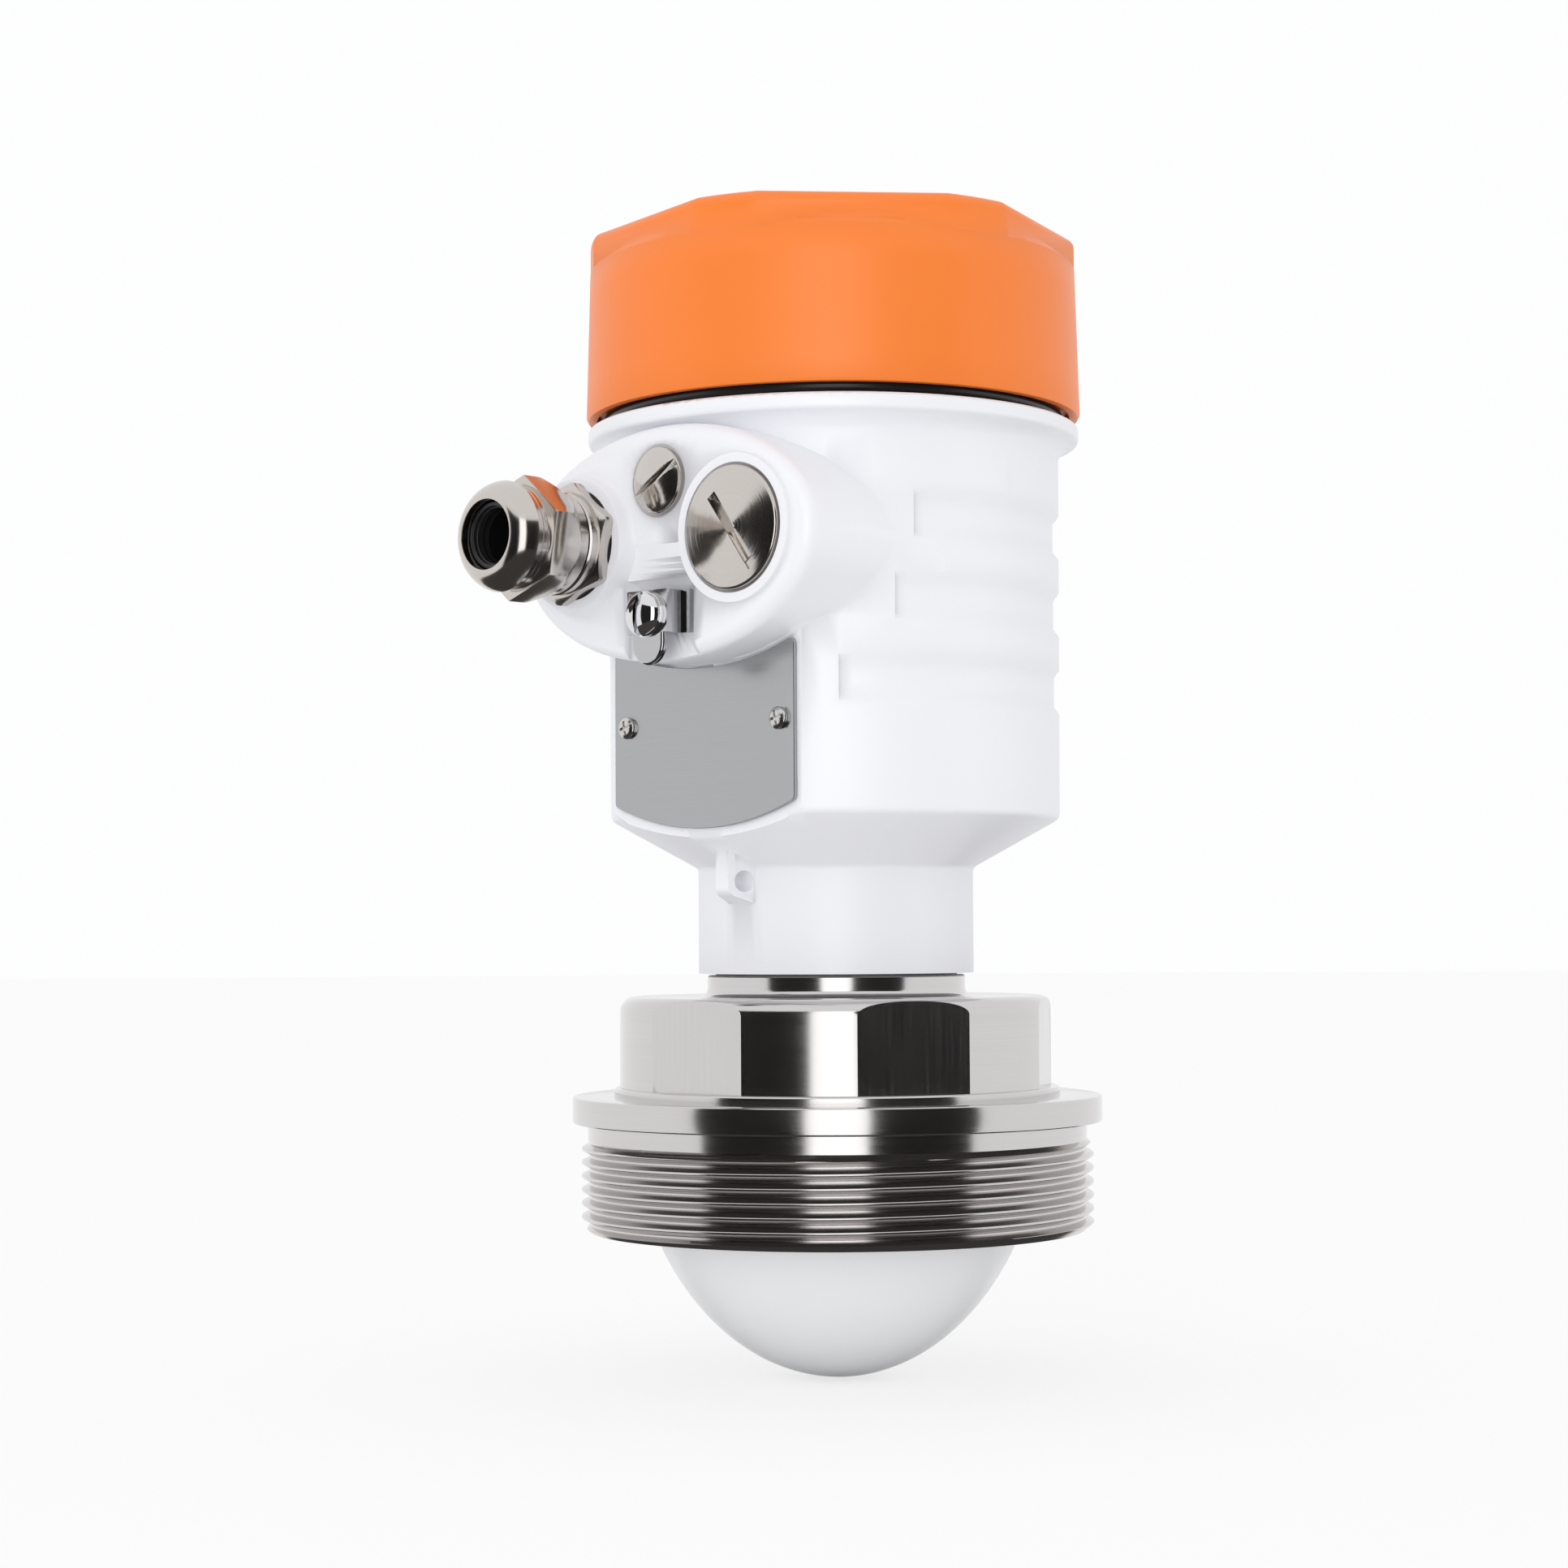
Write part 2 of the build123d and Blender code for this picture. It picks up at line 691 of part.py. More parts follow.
export_step(housing_body.part, "parts/housing_body.step")

# Screw lid with six grip flats
spigot_radius = spigot_diameter / 2
lid_shoulder_radius = lid_shoulder_diameter / 2
lid_bottom_radius = lid_bottom_diameter / 2
seal_ceiling = rim_top + running_gap + seal_section + running_gap
shoulder_radius = seal_diameter / 2 - seal_section / 2 - running_gap
grip_shoulder_rise = 4.6 * math.tan(math.radians(grip_shoulder_angle))
with BuildPart() as lid:
    with BuildSketch(Plane.XZ):
        with BuildLine():
            Polyline(
                (0, lid_bottom),
                (lid_bottom_radius - 0.4, lid_bottom),
                (lid_bottom_radius, lid_bottom + 0.6),
                (lid_shoulder_radius, grip_bottom),
                (lid_shoulder_radius - 4.6, grip_bottom + grip_shoulder_rise),
                (0, grip_bottom + grip_shoulder_rise),
                close=True,
            )
        make_face()
    revolve(axis=Axis.Z)
    with BuildSketch(Plane.XY.offset(grip_bottom - 1)):
        RegularPolygon(grip_across_flats / 2, 6, major_radius=False, rotation=lid_clock)
        Circle(lid_shoulder_radius - 0.05, mode=Mode.INTERSECT)
    extrude(amount=grip_height + 1)
    fillet(lid.faces().sort_by(Axis.Z)[-1].edges(), radius=lid_edge_radius)
    with BuildSketch(Plane.XZ):
        with BuildLine():
            Polyline(
                (shoulder_radius, lid_bottom - 1),
                (shoulder_radius, seal_ceiling),
                (lid_bottom_radius - skirt_wall, seal_ceiling),
                (lid_bottom_radius - skirt_wall, lid_bottom + 0.5),
                (lid_bottom_radius - skirt_wall + 0.9, lid_bottom - 1),
                close=True,
            )
        make_face()
    revolve(axis=Axis.Z, mode=Mode.SUBTRACT)
    with BuildSketch(Plane.XZ):
        with BuildLine():
            Polyline(
                (spigot_radius - spigot_wall, lid_bottom - spigot_length),
                (spigot_radius, lid_bottom - spigot_length),
                (spigot_radius, rim_top + moving_gap),
                (shoulder_radius, rim_top + moving_gap),
                (shoulder_radius, lid_bottom + 0.1),
                (spigot_radius - spigot_wall, lid_bottom + 0.1),
                close=True,
            )
        make_face()
    revolve(axis=Axis.Z)
    with BuildSketch(Plane.XZ):
        with BuildLine():
            Polyline(
                (0, lid_bottom - spigot_length),
                (spigot_radius - spigot_wall, lid_bottom - spigot_length),
                (spigot_radius - spigot_wall, lid_bottom + 2),
                (lid_inner_diameter / 2, lid_bottom + 5),
                (lid_inner_diameter / 2, lid_top - lid_wall - 2),
                (lid_inner_diameter / 2 - 2, lid_top - lid_wall),
                (0, lid_top - lid_wall),
                close=True,
            )
        make_face()
    revolve(axis=Axis.Z, mode=Mode.SUBTRACT)
lid.part.label = "lid"
export_step(lid.part, "parts/lid.step")

with BuildPart() as lid_seal:
    with Locations((0, 0, rim_top + running_gap + seal_section / 2)):
        Torus(seal_diameter / 2, seal_section / 2)
lid_seal.part.label = "lid_seal"
export_step(lid_seal.part, "parts/lid_seal.step")


# Cable gland in the left entry
gland_hex_face = gland_seat + gland_hex_thickness
gland_collar_face = gland_hex_face + gland_collar_length
gland_end = gland_collar_face + gland_thread_length
shank_radius = entry_thread / 2
gland_bore_radius = gland_bore / 2
inner_end = boss_face - boss_wall - 2

with BuildPart() as gland_body:
    with BuildSketch(gland_plane(gland_seat)):
        RegularPolygon(gland_across_flats / 2, 6, major_radius=False, rotation=gland_turn)
    extrude(amount=gland_hex_thickness)
    chamfer(gland_body.faces().sort_by(Axis.Y)[0].edges(), length=0.4)
    with BuildSketch(gland_section):
        with BuildLine():
            Polyline(*ring_points(
                (0, inner_end),
                (shank_radius, inner_end),
                (shank_radius, gland_seat),
                (gland_collar_diameter / 2, gland_seat),
                (gland_collar_diameter / 2, gland_collar_face),
                (gland_thread_diameter / 2, gland_collar_face),
                (gland_thread_diameter / 2, gland_end),
                (0, gland_end),
            ), close=True)
        make_face()
    revolve(axis=gland_line)
    with BuildSketch(gland_plane(inner_end)):
        Circle(gland_bore_radius - 1.2)
    extrude(amount=gland_end - inner_end, mode=Mode.SUBTRACT)
    with BuildSketch(gland_plane(gland_end - seal_length)):
        Circle(gland_bore_radius)
    extrude(amount=seal_length, mode=Mode.SUBTRACT)
gland_body.part.label = "gland_body"
export_step(gland_body.part, "parts/gland_body.step")

# Flat seals under the gland and the blanking plug
with BuildPart() as entry_seals:
    with BuildSketch(front_plane(gland_seat - seat_gap)):
        with Locations((gland_x, entry_height)):
            Circle(gasket_radius)
            Circle(shank_radius + running_gap, mode=Mode.SUBTRACT)
    extrude(amount=-(gasket_depth - 2 * seat_gap))
    with BuildSketch(front_plane(plug_seat - seat_gap)):
        with Locations((-gland_x, entry_height)):
            Circle(gasket_radius)
            Circle(shank_radius + running_gap, mode=Mode.SUBTRACT)
    extrude(amount=-(gasket_depth - 2 * seat_gap))
entry_seals.part.label = "entry_seals"
export_step(entry_seals.part, "parts/entry_seals.step")

# Cage and rubber that the nut presses on the cable
nut_start = gland_collar_face + nut_gap
nut_hex_start = nut_start + nut_skirt_length
nut_hex_end = nut_hex_start + nut_hex_length
nut_dome_start = nut_hex_end + nut_neck_length
nut_end = nut_dome_start + nut_dome_length
nut_shoulder = gland_end + 1.7
cage_radius = gland_bore_radius - running_gap
cage_start = gland_end - seal_length + moving_gap
cage_end = nut_shoulder - seat_gap
rubber_radius = cage_radius - cage_wall - seat_gap
rubber_mouth = nut_opening / 2 - 0.15

with BuildPart() as gland_cage:
    with BuildSketch(gland_section):
        with BuildLine():
            Polyline(*ring_points(
                (cage_radius - cage_wall, cage_start),
                (cage_radius, cage_start),
                (cage_radius, cage_end - 1.2),
                (gland_thread_diameter / 2 - 0.4, cage_end - 1.2),
                (gland_thread_diameter / 2 - 0.4, cage_end),
                (cage_radius - cage_wall, cage_end),
            ), close=True)
        make_face()
    revolve(axis=gland_line)
gland_cage.part.label = "gland_cage"
export_step(gland_cage.part, "parts/gland_cage.step")

with BuildPart() as gland_rubber:
    with BuildSketch(gland_section):
        with BuildLine():
            Polyline(*ring_points(
                (cable_bore / 2, cage_start),
                (rubber_radius, cage_start),
                (rubber_radius, cage_end),
                (rubber_mouth, cage_end),
                (rubber_mouth, nut_end - 1.6),
                (cable_bore / 2, nut_end - 1.6),
            ), close=True)
        make_face()
    revolve(axis=gland_line)
gland_rubber.part.label = "gland_rubber"
export_step(gland_rubber.part, "parts/gland_rubber.step")

# Dome nut
with BuildPart() as nut_hex:
    with BuildSketch(gland_plane(nut_hex_start)):
        RegularPolygon(gland_across_flats / 2, 6, major_radius=False, rotation=gland_turn)
    extrude(amount=nut_hex_length)
    with BuildSketch(gland_section):
        with BuildLine():
            Polyline(*ring_points(
                (0, nut_hex_start),
                (gland_across_flats / 2, nut_hex_start),
                (gland_across_flats * 0.58, nut_hex_start + nut_bevel_length),
                (gland_across_flats * 0.58, nut_hex_end),
                (0, nut_hex_end),
            ), close=True)
        make_face()
    revolve(axis=gland_line, mode=Mode.INTERSECT)

with BuildPart() as gland_nut:
    with BuildSketch(gland_section):
        with BuildLine():
            Polyline(*ring_points(
                (nut_front_diameter / 2, nut_end),
                (0, nut_end),
                (0, nut_start),
                (nut_skirt_diameter / 2, nut_start),
                (nut_skirt_diameter / 2, nut_hex_start),
                (nut_neck_diameter / 2, nut_hex_start),
                (nut_neck_diameter / 2, nut_dome_start),
                (nut_dome_diameter / 2, nut_dome_start),
            ))
            ThreePointArc(*ring_points(
                (nut_dome_diameter / 2, nut_dome_start),
                (nut_shoulder_diameter / 2, nut_dome_start + nut_dome_length * 0.58),
                (nut_front_diameter / 2, nut_end),
            ))
        make_face()
    revolve(axis=gland_line)
    add(nut_hex.part)
    with BuildSketch(gland_plane(nut_start)):
        Circle(gland_thread_diameter / 2 + thread_gap)
    extrude(amount=nut_shoulder - nut_start, mode=Mode.SUBTRACT)
    with BuildSketch(gland_plane(nut_start)):
        Circle(nut_opening / 2)
    extrude(amount=nut_end - nut_start + 1, mode=Mode.SUBTRACT)
gland_nut.part.label = "gland_nut"
export_step(gland_nut.part, "parts/gland_nut.step")

# Blanking plug in the right entry
plug_x = entry_spacing / 2
plug_face = plug_seat + plug_head_thickness
with BuildPart() as blanking_plug:
    with BuildSketch(front_plane(plug_seat)):
        with Locations((plug_x, entry_height)):
            Circle(plug_head_diameter / 2)
    extrude(amount=plug_head_thickness)
    fillet(blanking_plug.faces().sort_by(Axis.Y)[0].edges(), radius=0.5)
    with BuildSketch(front_plane(plug_seat)):
        with Locations((plug_x, entry_height)):
            Circle(shank_radius)
    extrude(amount=-plug_shank_length)
    with BuildSketch(front_plane(plug_face)):
        with Locations(Location((plug_x, entry_height), plug_slot_angle)):
            SlotOverall(plug_slot_length, plug_slot_width)
    extrude(amount=-plug_slot_depth, mode=Mode.SUBTRACT)
blanking_plug.part.label = "blanking_plug"
export_step(blanking_plug.part, "parts/blanking_plug.step")

# Vent plug between the entries
vent_seat = boss_face - vent_recess_depth
vent_rim_face = vent_seat + vent_rim_thickness
vent_radius = vent_head_diameter / 2
vent_axis = Axis((0, 0, vent_height), (0, 1, 0))
with BuildPart() as vent_plug:
    with BuildSketch(Plane(origin=(0, 0, vent_height), x_dir=(1, 0, 0), z_dir=(0, 0, 1))):
        with BuildLine():
            Polyline(
                (0, -vent_rim_face - vent_dome_rise),
                (0, -vent_seat + vent_shank_length),
                (vent_thread / 2, -vent_seat + vent_shank_length),
                (vent_thread / 2, -vent_seat),
                (vent_radius, -vent_seat),
                (vent_radius, -vent_rim_face + 0.3),
                (vent_radius - 0.3, -vent_rim_face),
            )
            SagittaArc((vent_radius - 0.3, -vent_rim_face), (0, -vent_rim_face - vent_dome_rise), -0.35)
        make_face()
    revolve(axis=vent_axis)
    with BuildSketch(front_plane(vent_rim_face + vent_dome_rise)):
        with Locations(Location((0, vent_height), vent_slot_angle)):
            Rectangle(vent_head_diameter, vent_slot_width)
    extrude(amount=-vent_dome_rise, mode=Mode.SUBTRACT)
    with BuildSketch(front_plane(vent_seat - vent_shank_length)):
        with Locations((0, vent_height)):
            Circle(vent_channel)
    extrude(amount=vent_shank_length - 0.6, mode=Mode.SUBTRACT)
vent_plug.part.label = "vent_plug"
export_step(vent_plug.part, "parts/vent_plug.step")

with BuildPart() as vent_membrane:
    with BuildSketch(front_plane(vent_seat - 0.6 - seat_gap)):
        with Locations((0, vent_height)):
            Circle(vent_channel - seat_gap)
    extrude(amount=-0.5)
vent_membrane.part.label = "vent_membrane"
export_step(vent_membrane.part, "parts/vent_membrane.step")

# Nameplate on the flat, held by two screws
plate_face = flat_distance + seat_gap + plate_thickness
with BuildPart() as nameplate:
    with BuildSketch(front_plane(flat_distance + seat_gap)):
        with BuildLine():
            Polyline(
                (plate_width / 2, plate_side_height),
                (plate_width / 2, boss_centre),
                (-plate_width / 2, boss_centre),
                (-plate_width / 2, plate_side_height),
            )
            ThreePointArc((-plate_width / 2, plate_side_height), (0, plate_mid_height),
                          (plate_width / 2, plate_side_height))
        make_face()
        with Locations((0, boss_centre)):
            Ellipse(boss_width / 2 + plate_top_gap, boss_height / 2 + plate_top_gap, mode=Mode.SUBTRACT)
        with Locations((-plate_screw_spacing / 2, plate_screw_height), (plate_screw_spacing / 2, plate_screw_height)):
            Circle(plate_screw_diameter / 2 + running_gap, mode=Mode.SUBTRACT)
    extrude(amount=plate_thickness)
    fillet(nameplate.edges().filter_by(Axis.Y).filter_by(lambda e: e.center().Z < boss_centre), radius=1.0)
nameplate.part.label = "nameplate"
export_step(nameplate.part, "parts/nameplate.step")

with BuildPart() as nameplate_screws:
    with BuildSketch(front_plane(plate_face + seat_gap)):
        with Locations((-plate_screw_spacing / 2, plate_screw_height), (plate_screw_spacing / 2, plate_screw_height)):
            Circle(plate_screw_head / 2)
    extrude(amount=1.1)
    fillet(nameplate_screws.edges().filter_by(GeomType.CIRCLE).group_by(Axis.Y)[0], radius=0.6)
    with BuildSketch(front_plane(plate_face + seat_gap)):
        with Locations((-plate_screw_spacing / 2, plate_screw_height), (plate_screw_spacing / 2, plate_screw_height)):
            Circle(plate_screw_diameter / 2)
    extrude(amount=-(plate_thickness + plate_screw_length - 0.2))
nameplate_screws.part.label = "nameplate_screws"
export_step(nameplate_screws.part, "parts/nameplate_screws.step")

# Outer earth terminal: saddle, inner tongue and clamp screw
foot_back = pocket_face + moving_gap
saddle_face = pocket_face + earth_plate + earth_rise
saddle_back = saddle_face - earth_plate
tongue_face = saddle_back - seat_gap
earth_left = earth_offset - earth_width / 2
earth_right = earth_offset + earth_width / 2
earth_low = earth_height - earth_square_height / 2 + 0.4
with BuildPart() as earth_saddle:
    with BuildSketch(Plane.XY.offset(earth_low)):
        with BuildLine():
            Polyline(
                (earth_left, -saddle_face),
                (earth_right, -saddle_face),
                (earth_right, -foot_back - earth_plate),
                (earth_right + earth_foot_width - earth_plate, -foot_back - earth_plate),
                (earth_right + earth_foot_width - earth_plate, -foot_back),
                (earth_right - earth_plate, -foot_back),
                (earth_right - earth_plate, -saddle_back),
                (earth_left, -saddle_back),
                close=True,
            )
        make_face()
    extrude(amount=earth_square_height)
    with BuildSketch(front_plane(saddle_back)):
        with Locations((earth_offset, earth_low - earth_tongue_length + earth_width * 0.4)):
            Circle(earth_width * 0.4)
            Rectangle(earth_width * 0.8, earth_tongue_length, align=(Align.CENTER, Align.MIN))
    extrude(amount=earth_plate)
    with BuildSketch(front_plane(saddle_back)):
        with Locations((earth_offset, earth_height)):
            Circle(earth_hole)
    extrude(amount=earth_plate, mode=Mode.SUBTRACT)
    fillet(earth_saddle.edges().filter_by(Axis.Z).sort_by(Axis.Y)[0:2].sort_by(Axis.X)[-1], radius=0.6)
earth_saddle.part.label = "earth_saddle"
export_step(earth_saddle.part, "parts/earth_saddle.step")

with BuildPart() as earth_tongue:
    with BuildSketch(front_plane(tongue_face)):
        with Locations((earth_offset - 0.8, earth_height - 1.0)):
            RectangleRounded(earth_width - 2.6, earth_square_height + earth_tongue_length - 2.0, 2.4)
        with Locations((earth_offset, earth_height)):
            Circle(earth_hole, mode=Mode.SUBTRACT)
    extrude(amount=-earth_plate)
earth_tongue.part.label = "earth_tongue"
export_step(earth_tongue.part, "parts/earth_tongue.step")

earth_line = Axis((earth_offset, 0, earth_height), (0, 1, 0))
head_back = saddle_face + seat_gap
with BuildPart() as earth_screw:
    with BuildSketch(Plane(origin=(earth_offset, 0, earth_height), x_dir=(1, 0, 0), z_dir=(0, 0, 1))):
        with BuildLine():
            Polyline(
                (0, -head_back - earth_head_height),
                (0, -head_back + earth_screw_length),
                (earth_screw_diameter / 2 - 0.4, -head_back + earth_screw_length),
                (earth_screw_diameter / 2, -head_back + earth_screw_length - 0.4),
                (earth_screw_diameter / 2, -head_back),
                (earth_head_diameter / 2, -head_back),
                (earth_head_diameter / 2, -head_back - earth_head_height + 1.2),
            )
            SagittaArc((earth_head_diameter / 2, -head_back - earth_head_height + 1.2),
                       (0, -head_back - earth_head_height), -0.7)
        make_face()
    revolve(axis=earth_line)
    with BuildSketch(front_plane(head_back + earth_head_height)):
        with Locations(Location((earth_offset, earth_height), 24)):
            Rectangle(earth_head_diameter, 1.0)
    extrude(amount=-1.0, mode=Mode.SUBTRACT)
earth_screw.part.label = "earth_screw"
export_step(earth_screw.part, "parts/earth_screw.step")

# Electronics module and terminals inside the housing
insert_bottom = floor_height + floor_cone_height + insert_bottom_gap
insert_radius = cavity_radius - 0.8
insert_flat = inner_flat - 0.8
insert_top = insert_bottom + insert_height
with BuildPart() as electronics_insert:
    with BuildSketch(Plane.XY.offset(insert_bottom)):
        Circle(insert_radius)
        with Locations((0, -insert_flat)):
            Rectangle(cavity_diameter, cavity_diameter, align=(Align.CENTER, Align.MAX), mode=Mode.SUBTRACT)
    extrude(amount=insert_height - insert_deck_step)
    fillet(electronics_insert.edges().filter_by(Axis.Z), radius=2)
    with BuildSketch(Plane.XY.offset(insert_top - insert_deck_step)):
        Circle(insert_radius - 6)
        with Locations((0, -insert_flat + 4)):
            Rectangle(cavity_diameter, cavity_diameter, align=(Align.CENTER, Align.MAX), mode=Mode.SUBTRACT)
    extrude(amount=insert_deck_step)
    fillet(electronics_insert.faces().sort_by(Axis.Z)[-1].edges(), radius=0.8)
electronics_insert.part.label = "electronics_insert"
export_step(electronics_insert.part, "parts/electronics_insert.step")

terminal_bottom = insert_top + seat_gap
terminal_top = terminal_bottom + terminal_height
with BuildPart() as terminal_block:
    with Locations((0, 0, terminal_bottom)):
        Box(terminal_width, terminal_depth, terminal_height, align=(Align.CENTER, Align.CENTER, Align.MIN))
    chamfer(terminal_block.edges().filter_by(Axis.X).group_by(Axis.Z)[-1], length=1.6)
    with Locations((0, -terminal_depth / 2, terminal_bottom + 3.4)):
        with GridLocations(terminal_pitch, 1, terminal_count, 1):
            Box(4.4, 8, 3.6, mode=Mode.SUBTRACT)
    with BuildSketch(Plane.XY.offset(terminal_top)):
        with GridLocations(terminal_pitch, 1, terminal_count, 1):
            Circle(terminal_screw_diameter / 2 + running_gap)
    extrude(amount=-2.4, mode=Mode.SUBTRACT)
terminal_block.part.label = "terminal_block"
export_step(terminal_block.part, "parts/terminal_block.step")

with BuildPart() as terminal_screws:
    with BuildSketch(Plane.XY.offset(terminal_top - 2.4 + seat_gap)):
        with GridLocations(terminal_pitch, 1, terminal_count, 1):
            Circle(terminal_screw_diameter / 2)
    extrude(amount=1.6)
    with Locations((0, 0, terminal_top - 2.4 + seat_gap + 1.6)):
        with GridLocations(terminal_pitch, 1, terminal_count, 1):
            Box(terminal_screw_diameter + 1, 0.7, 1.2, mode=Mode.SUBTRACT)
terminal_screws.part.label = "terminal_screws"
export_step(terminal_screws.part, "parts/terminal_screws.step")
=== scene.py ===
# %% [markdown]
# # A radar level sensor, from frame to finished picture
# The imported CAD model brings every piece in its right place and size. This lesson dresses it: it turns
# the steel fitting with a real screw thread, gives the cast housing its powder coat, cuts the small
# hardware, and lights it all like a product photograph.

# %% Load the frame
import math

import bmesh
import bpy
from mathutils import Matrix, Vector


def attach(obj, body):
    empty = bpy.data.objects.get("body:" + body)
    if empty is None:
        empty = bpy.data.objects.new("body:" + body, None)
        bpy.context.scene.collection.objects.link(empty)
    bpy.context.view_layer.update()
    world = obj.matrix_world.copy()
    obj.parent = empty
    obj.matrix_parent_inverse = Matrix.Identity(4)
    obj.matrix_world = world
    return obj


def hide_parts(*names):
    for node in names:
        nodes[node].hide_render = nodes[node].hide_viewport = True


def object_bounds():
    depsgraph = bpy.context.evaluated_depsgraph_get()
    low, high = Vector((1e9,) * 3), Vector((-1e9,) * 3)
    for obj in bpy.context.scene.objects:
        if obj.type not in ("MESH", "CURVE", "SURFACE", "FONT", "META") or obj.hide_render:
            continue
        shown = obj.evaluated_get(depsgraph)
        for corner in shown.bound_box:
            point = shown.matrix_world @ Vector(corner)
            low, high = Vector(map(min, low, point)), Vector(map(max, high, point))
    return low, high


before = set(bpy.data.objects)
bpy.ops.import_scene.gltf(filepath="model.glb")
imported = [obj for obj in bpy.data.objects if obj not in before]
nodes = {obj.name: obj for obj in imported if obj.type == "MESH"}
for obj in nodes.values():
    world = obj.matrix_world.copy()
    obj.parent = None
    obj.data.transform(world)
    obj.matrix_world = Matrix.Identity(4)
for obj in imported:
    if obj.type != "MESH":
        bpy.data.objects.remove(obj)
cad_low, cad_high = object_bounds()
MM = 0.001
print("CAD box in mm", [round(v / MM, 1) for v in (*cad_low, *cad_high)])

# %% [markdown]
# The photograph was taken with a long lens from about the height of the housing's neck. The ellipses of
# the turned parts give the lens, the distance and the tilt, so the camera is placed by numbers instead of
# by eye. The axis of the sensor stands a little right of the picture's centre.

# %% Photograph camera
picture_width = 1932
focal_pixels = 3850
view_azimuth = math.radians(41.5)
camera_distance = 540.5 * MM
camera_height = 31.4 * MM
axis_column = 1029
horizon_row = 1156
camera_roll = math.radians(0.30)

camera_pitch = math.atan((horizon_row - picture_width / 2) / focal_pixels)
camera_yaw = math.atan((axis_column - picture_width / 2) / focal_pixels / math.cos(camera_pitch))
camera_place = Vector((math.sin(view_azimuth), -math.cos(view_azimuth), 0)) * camera_distance
camera_place.z = camera_height
level_view = Vector((-math.sin(view_azimuth), math.cos(view_azimuth), 0))
level_view.rotate(Matrix.Rotation(camera_yaw, 3, "Z"))
forward = level_view * math.cos(camera_pitch) + Vector((0, 0, math.sin(camera_pitch)))
right = forward.cross(Vector((0, 0, 1))).normalized()
up = right.cross(forward)
rolled_right = right * math.cos(camera_roll) - up * math.sin(camera_roll)
rolled_up = up * math.cos(camera_roll) + right * math.sin(camera_roll)

camera_data = bpy.data.cameras.new("photo_camera")
camera_data.sensor_width = 36
camera_data.lens = 36 * focal_pixels / picture_width
camera_data.clip_start = 0.05
camera = bpy.data.objects.new("photo_camera", camera_data)
camera.matrix_world = Matrix.Translation(camera_place) @ Matrix(
    (rolled_right, rolled_up, -forward)).transposed().to_4x4()
bpy.context.scene.collection.objects.link(camera)
bpy.context.scene.camera = camera
print("lens in mm", round(camera_data.lens, 1))

# %% [markdown]
# The studio is a white room. A white world lights everything evenly, a tall soft box to the left of the
# camera gives the castings their light and dark side, and a low, wide lamp reaches the lens under the
# fitting. Neither lamp is seen, by the camera or in the metal.

# %% Studio
scene = bpy.context.scene
scene.view_settings.view_transform = "Standard"
floor_height = cad_low.z - 0.0002

room_white = (0.985, 0.987, 0.99, 1)
room_light = 0.91

world = bpy.data.worlds.new("white_room")
world.use_nodes = True
scene.world = world
room = world.node_tree
background = room.nodes["Background"]
ray = room.nodes.new("ShaderNodeLightPath")
seen = room.nodes.new("ShaderNodeMath")
seen.operation = "MAXIMUM"
room.links.new(ray.outputs["Is Camera Ray"], seen.inputs[0])
room.links.new(ray.outputs["Is Glossy Ray"], seen.inputs[1])
strength = room.nodes.new("ShaderNodeMapRange")
strength.inputs["To Min"].default_value = room_light
strength.inputs["To Max"].default_value = 1.0
room.links.new(seen.outputs[0], strength.inputs["Value"])
room.links.new(strength.outputs["Result"], background.inputs["Strength"])
background.inputs["Color"].default_value = room_white

lamp_aim = Vector((0, 0, 0.05))


def stand_lamp(name, azimuth_degrees, distance, centre_height, width, height, power):
    """Stand a soft lamp at this azimuth from -Y, aimed at the sensor, all in metres and watts."""
    light = bpy.data.lights.new(name, "AREA")
    light.shape = "RECTANGLE"
    light.size = width
    light.size_y = height
    light.energy = power
    angle = math.radians(azimuth_degrees)
    spot = Vector((math.sin(angle) * distance, -math.cos(angle) * distance, centre_height))
    lamp = bpy.data.objects.new(name, light)
    turn = (lamp_aim - spot).to_track_quat("-Z", "Y").to_matrix().to_4x4()
    lamp.matrix_world = Matrix.Translation(spot) @ turn
    lamp.visible_camera = False
    lamp.visible_glossy = False
    scene.collection.objects.link(lamp)


stand_lamp("soft_box", 24.0, 1.2, 0.15, 0.46, 1.5, 2.2)
stand_lamp("low_lamp", 30.0, 0.75, 0.05, 0.8, 0.16, 0.6)
print("room ready, floor at", round(floor_height / MM, 1), "mm")

# %% [markdown]
# What steel shows is arranged apart from the light, with cards that only mirror rays meet: a glowing one
# straight behind the camera, a dark one on either side of it and a dark sheet far below. A polished
# cylinder then has a white streak between two dark bands, and everything that looks down is dark.

# %% Cards for the mirror rays


def glowing(name, colour, strength):
    """A material that only sends out light."""
    material = bpy.data.materials.new(name)
    material.use_nodes = True
    surface = material.node_tree.nodes["Principled BSDF"]
    surface.inputs["Base Color"].default_value = (0, 0, 0, 1)
    surface.inputs["Roughness"].default_value = 1.0
    surface.inputs["Specular IOR Level"].default_value = 0.0
    surface.inputs["Emission Color"].default_value = (*colour, 1)
    surface.inputs["Emission Strength"].default_value = strength
    return material


def only_mirrored(card):
    """Let nothing but mirror rays meet a card."""
    scene.collection.objects.link(card)
    card.visible_camera = False
    card.visible_diffuse = False
    card.visible_shadow = False
    card.visible_transmission = False
    card.visible_volume_scatter = False
    return card


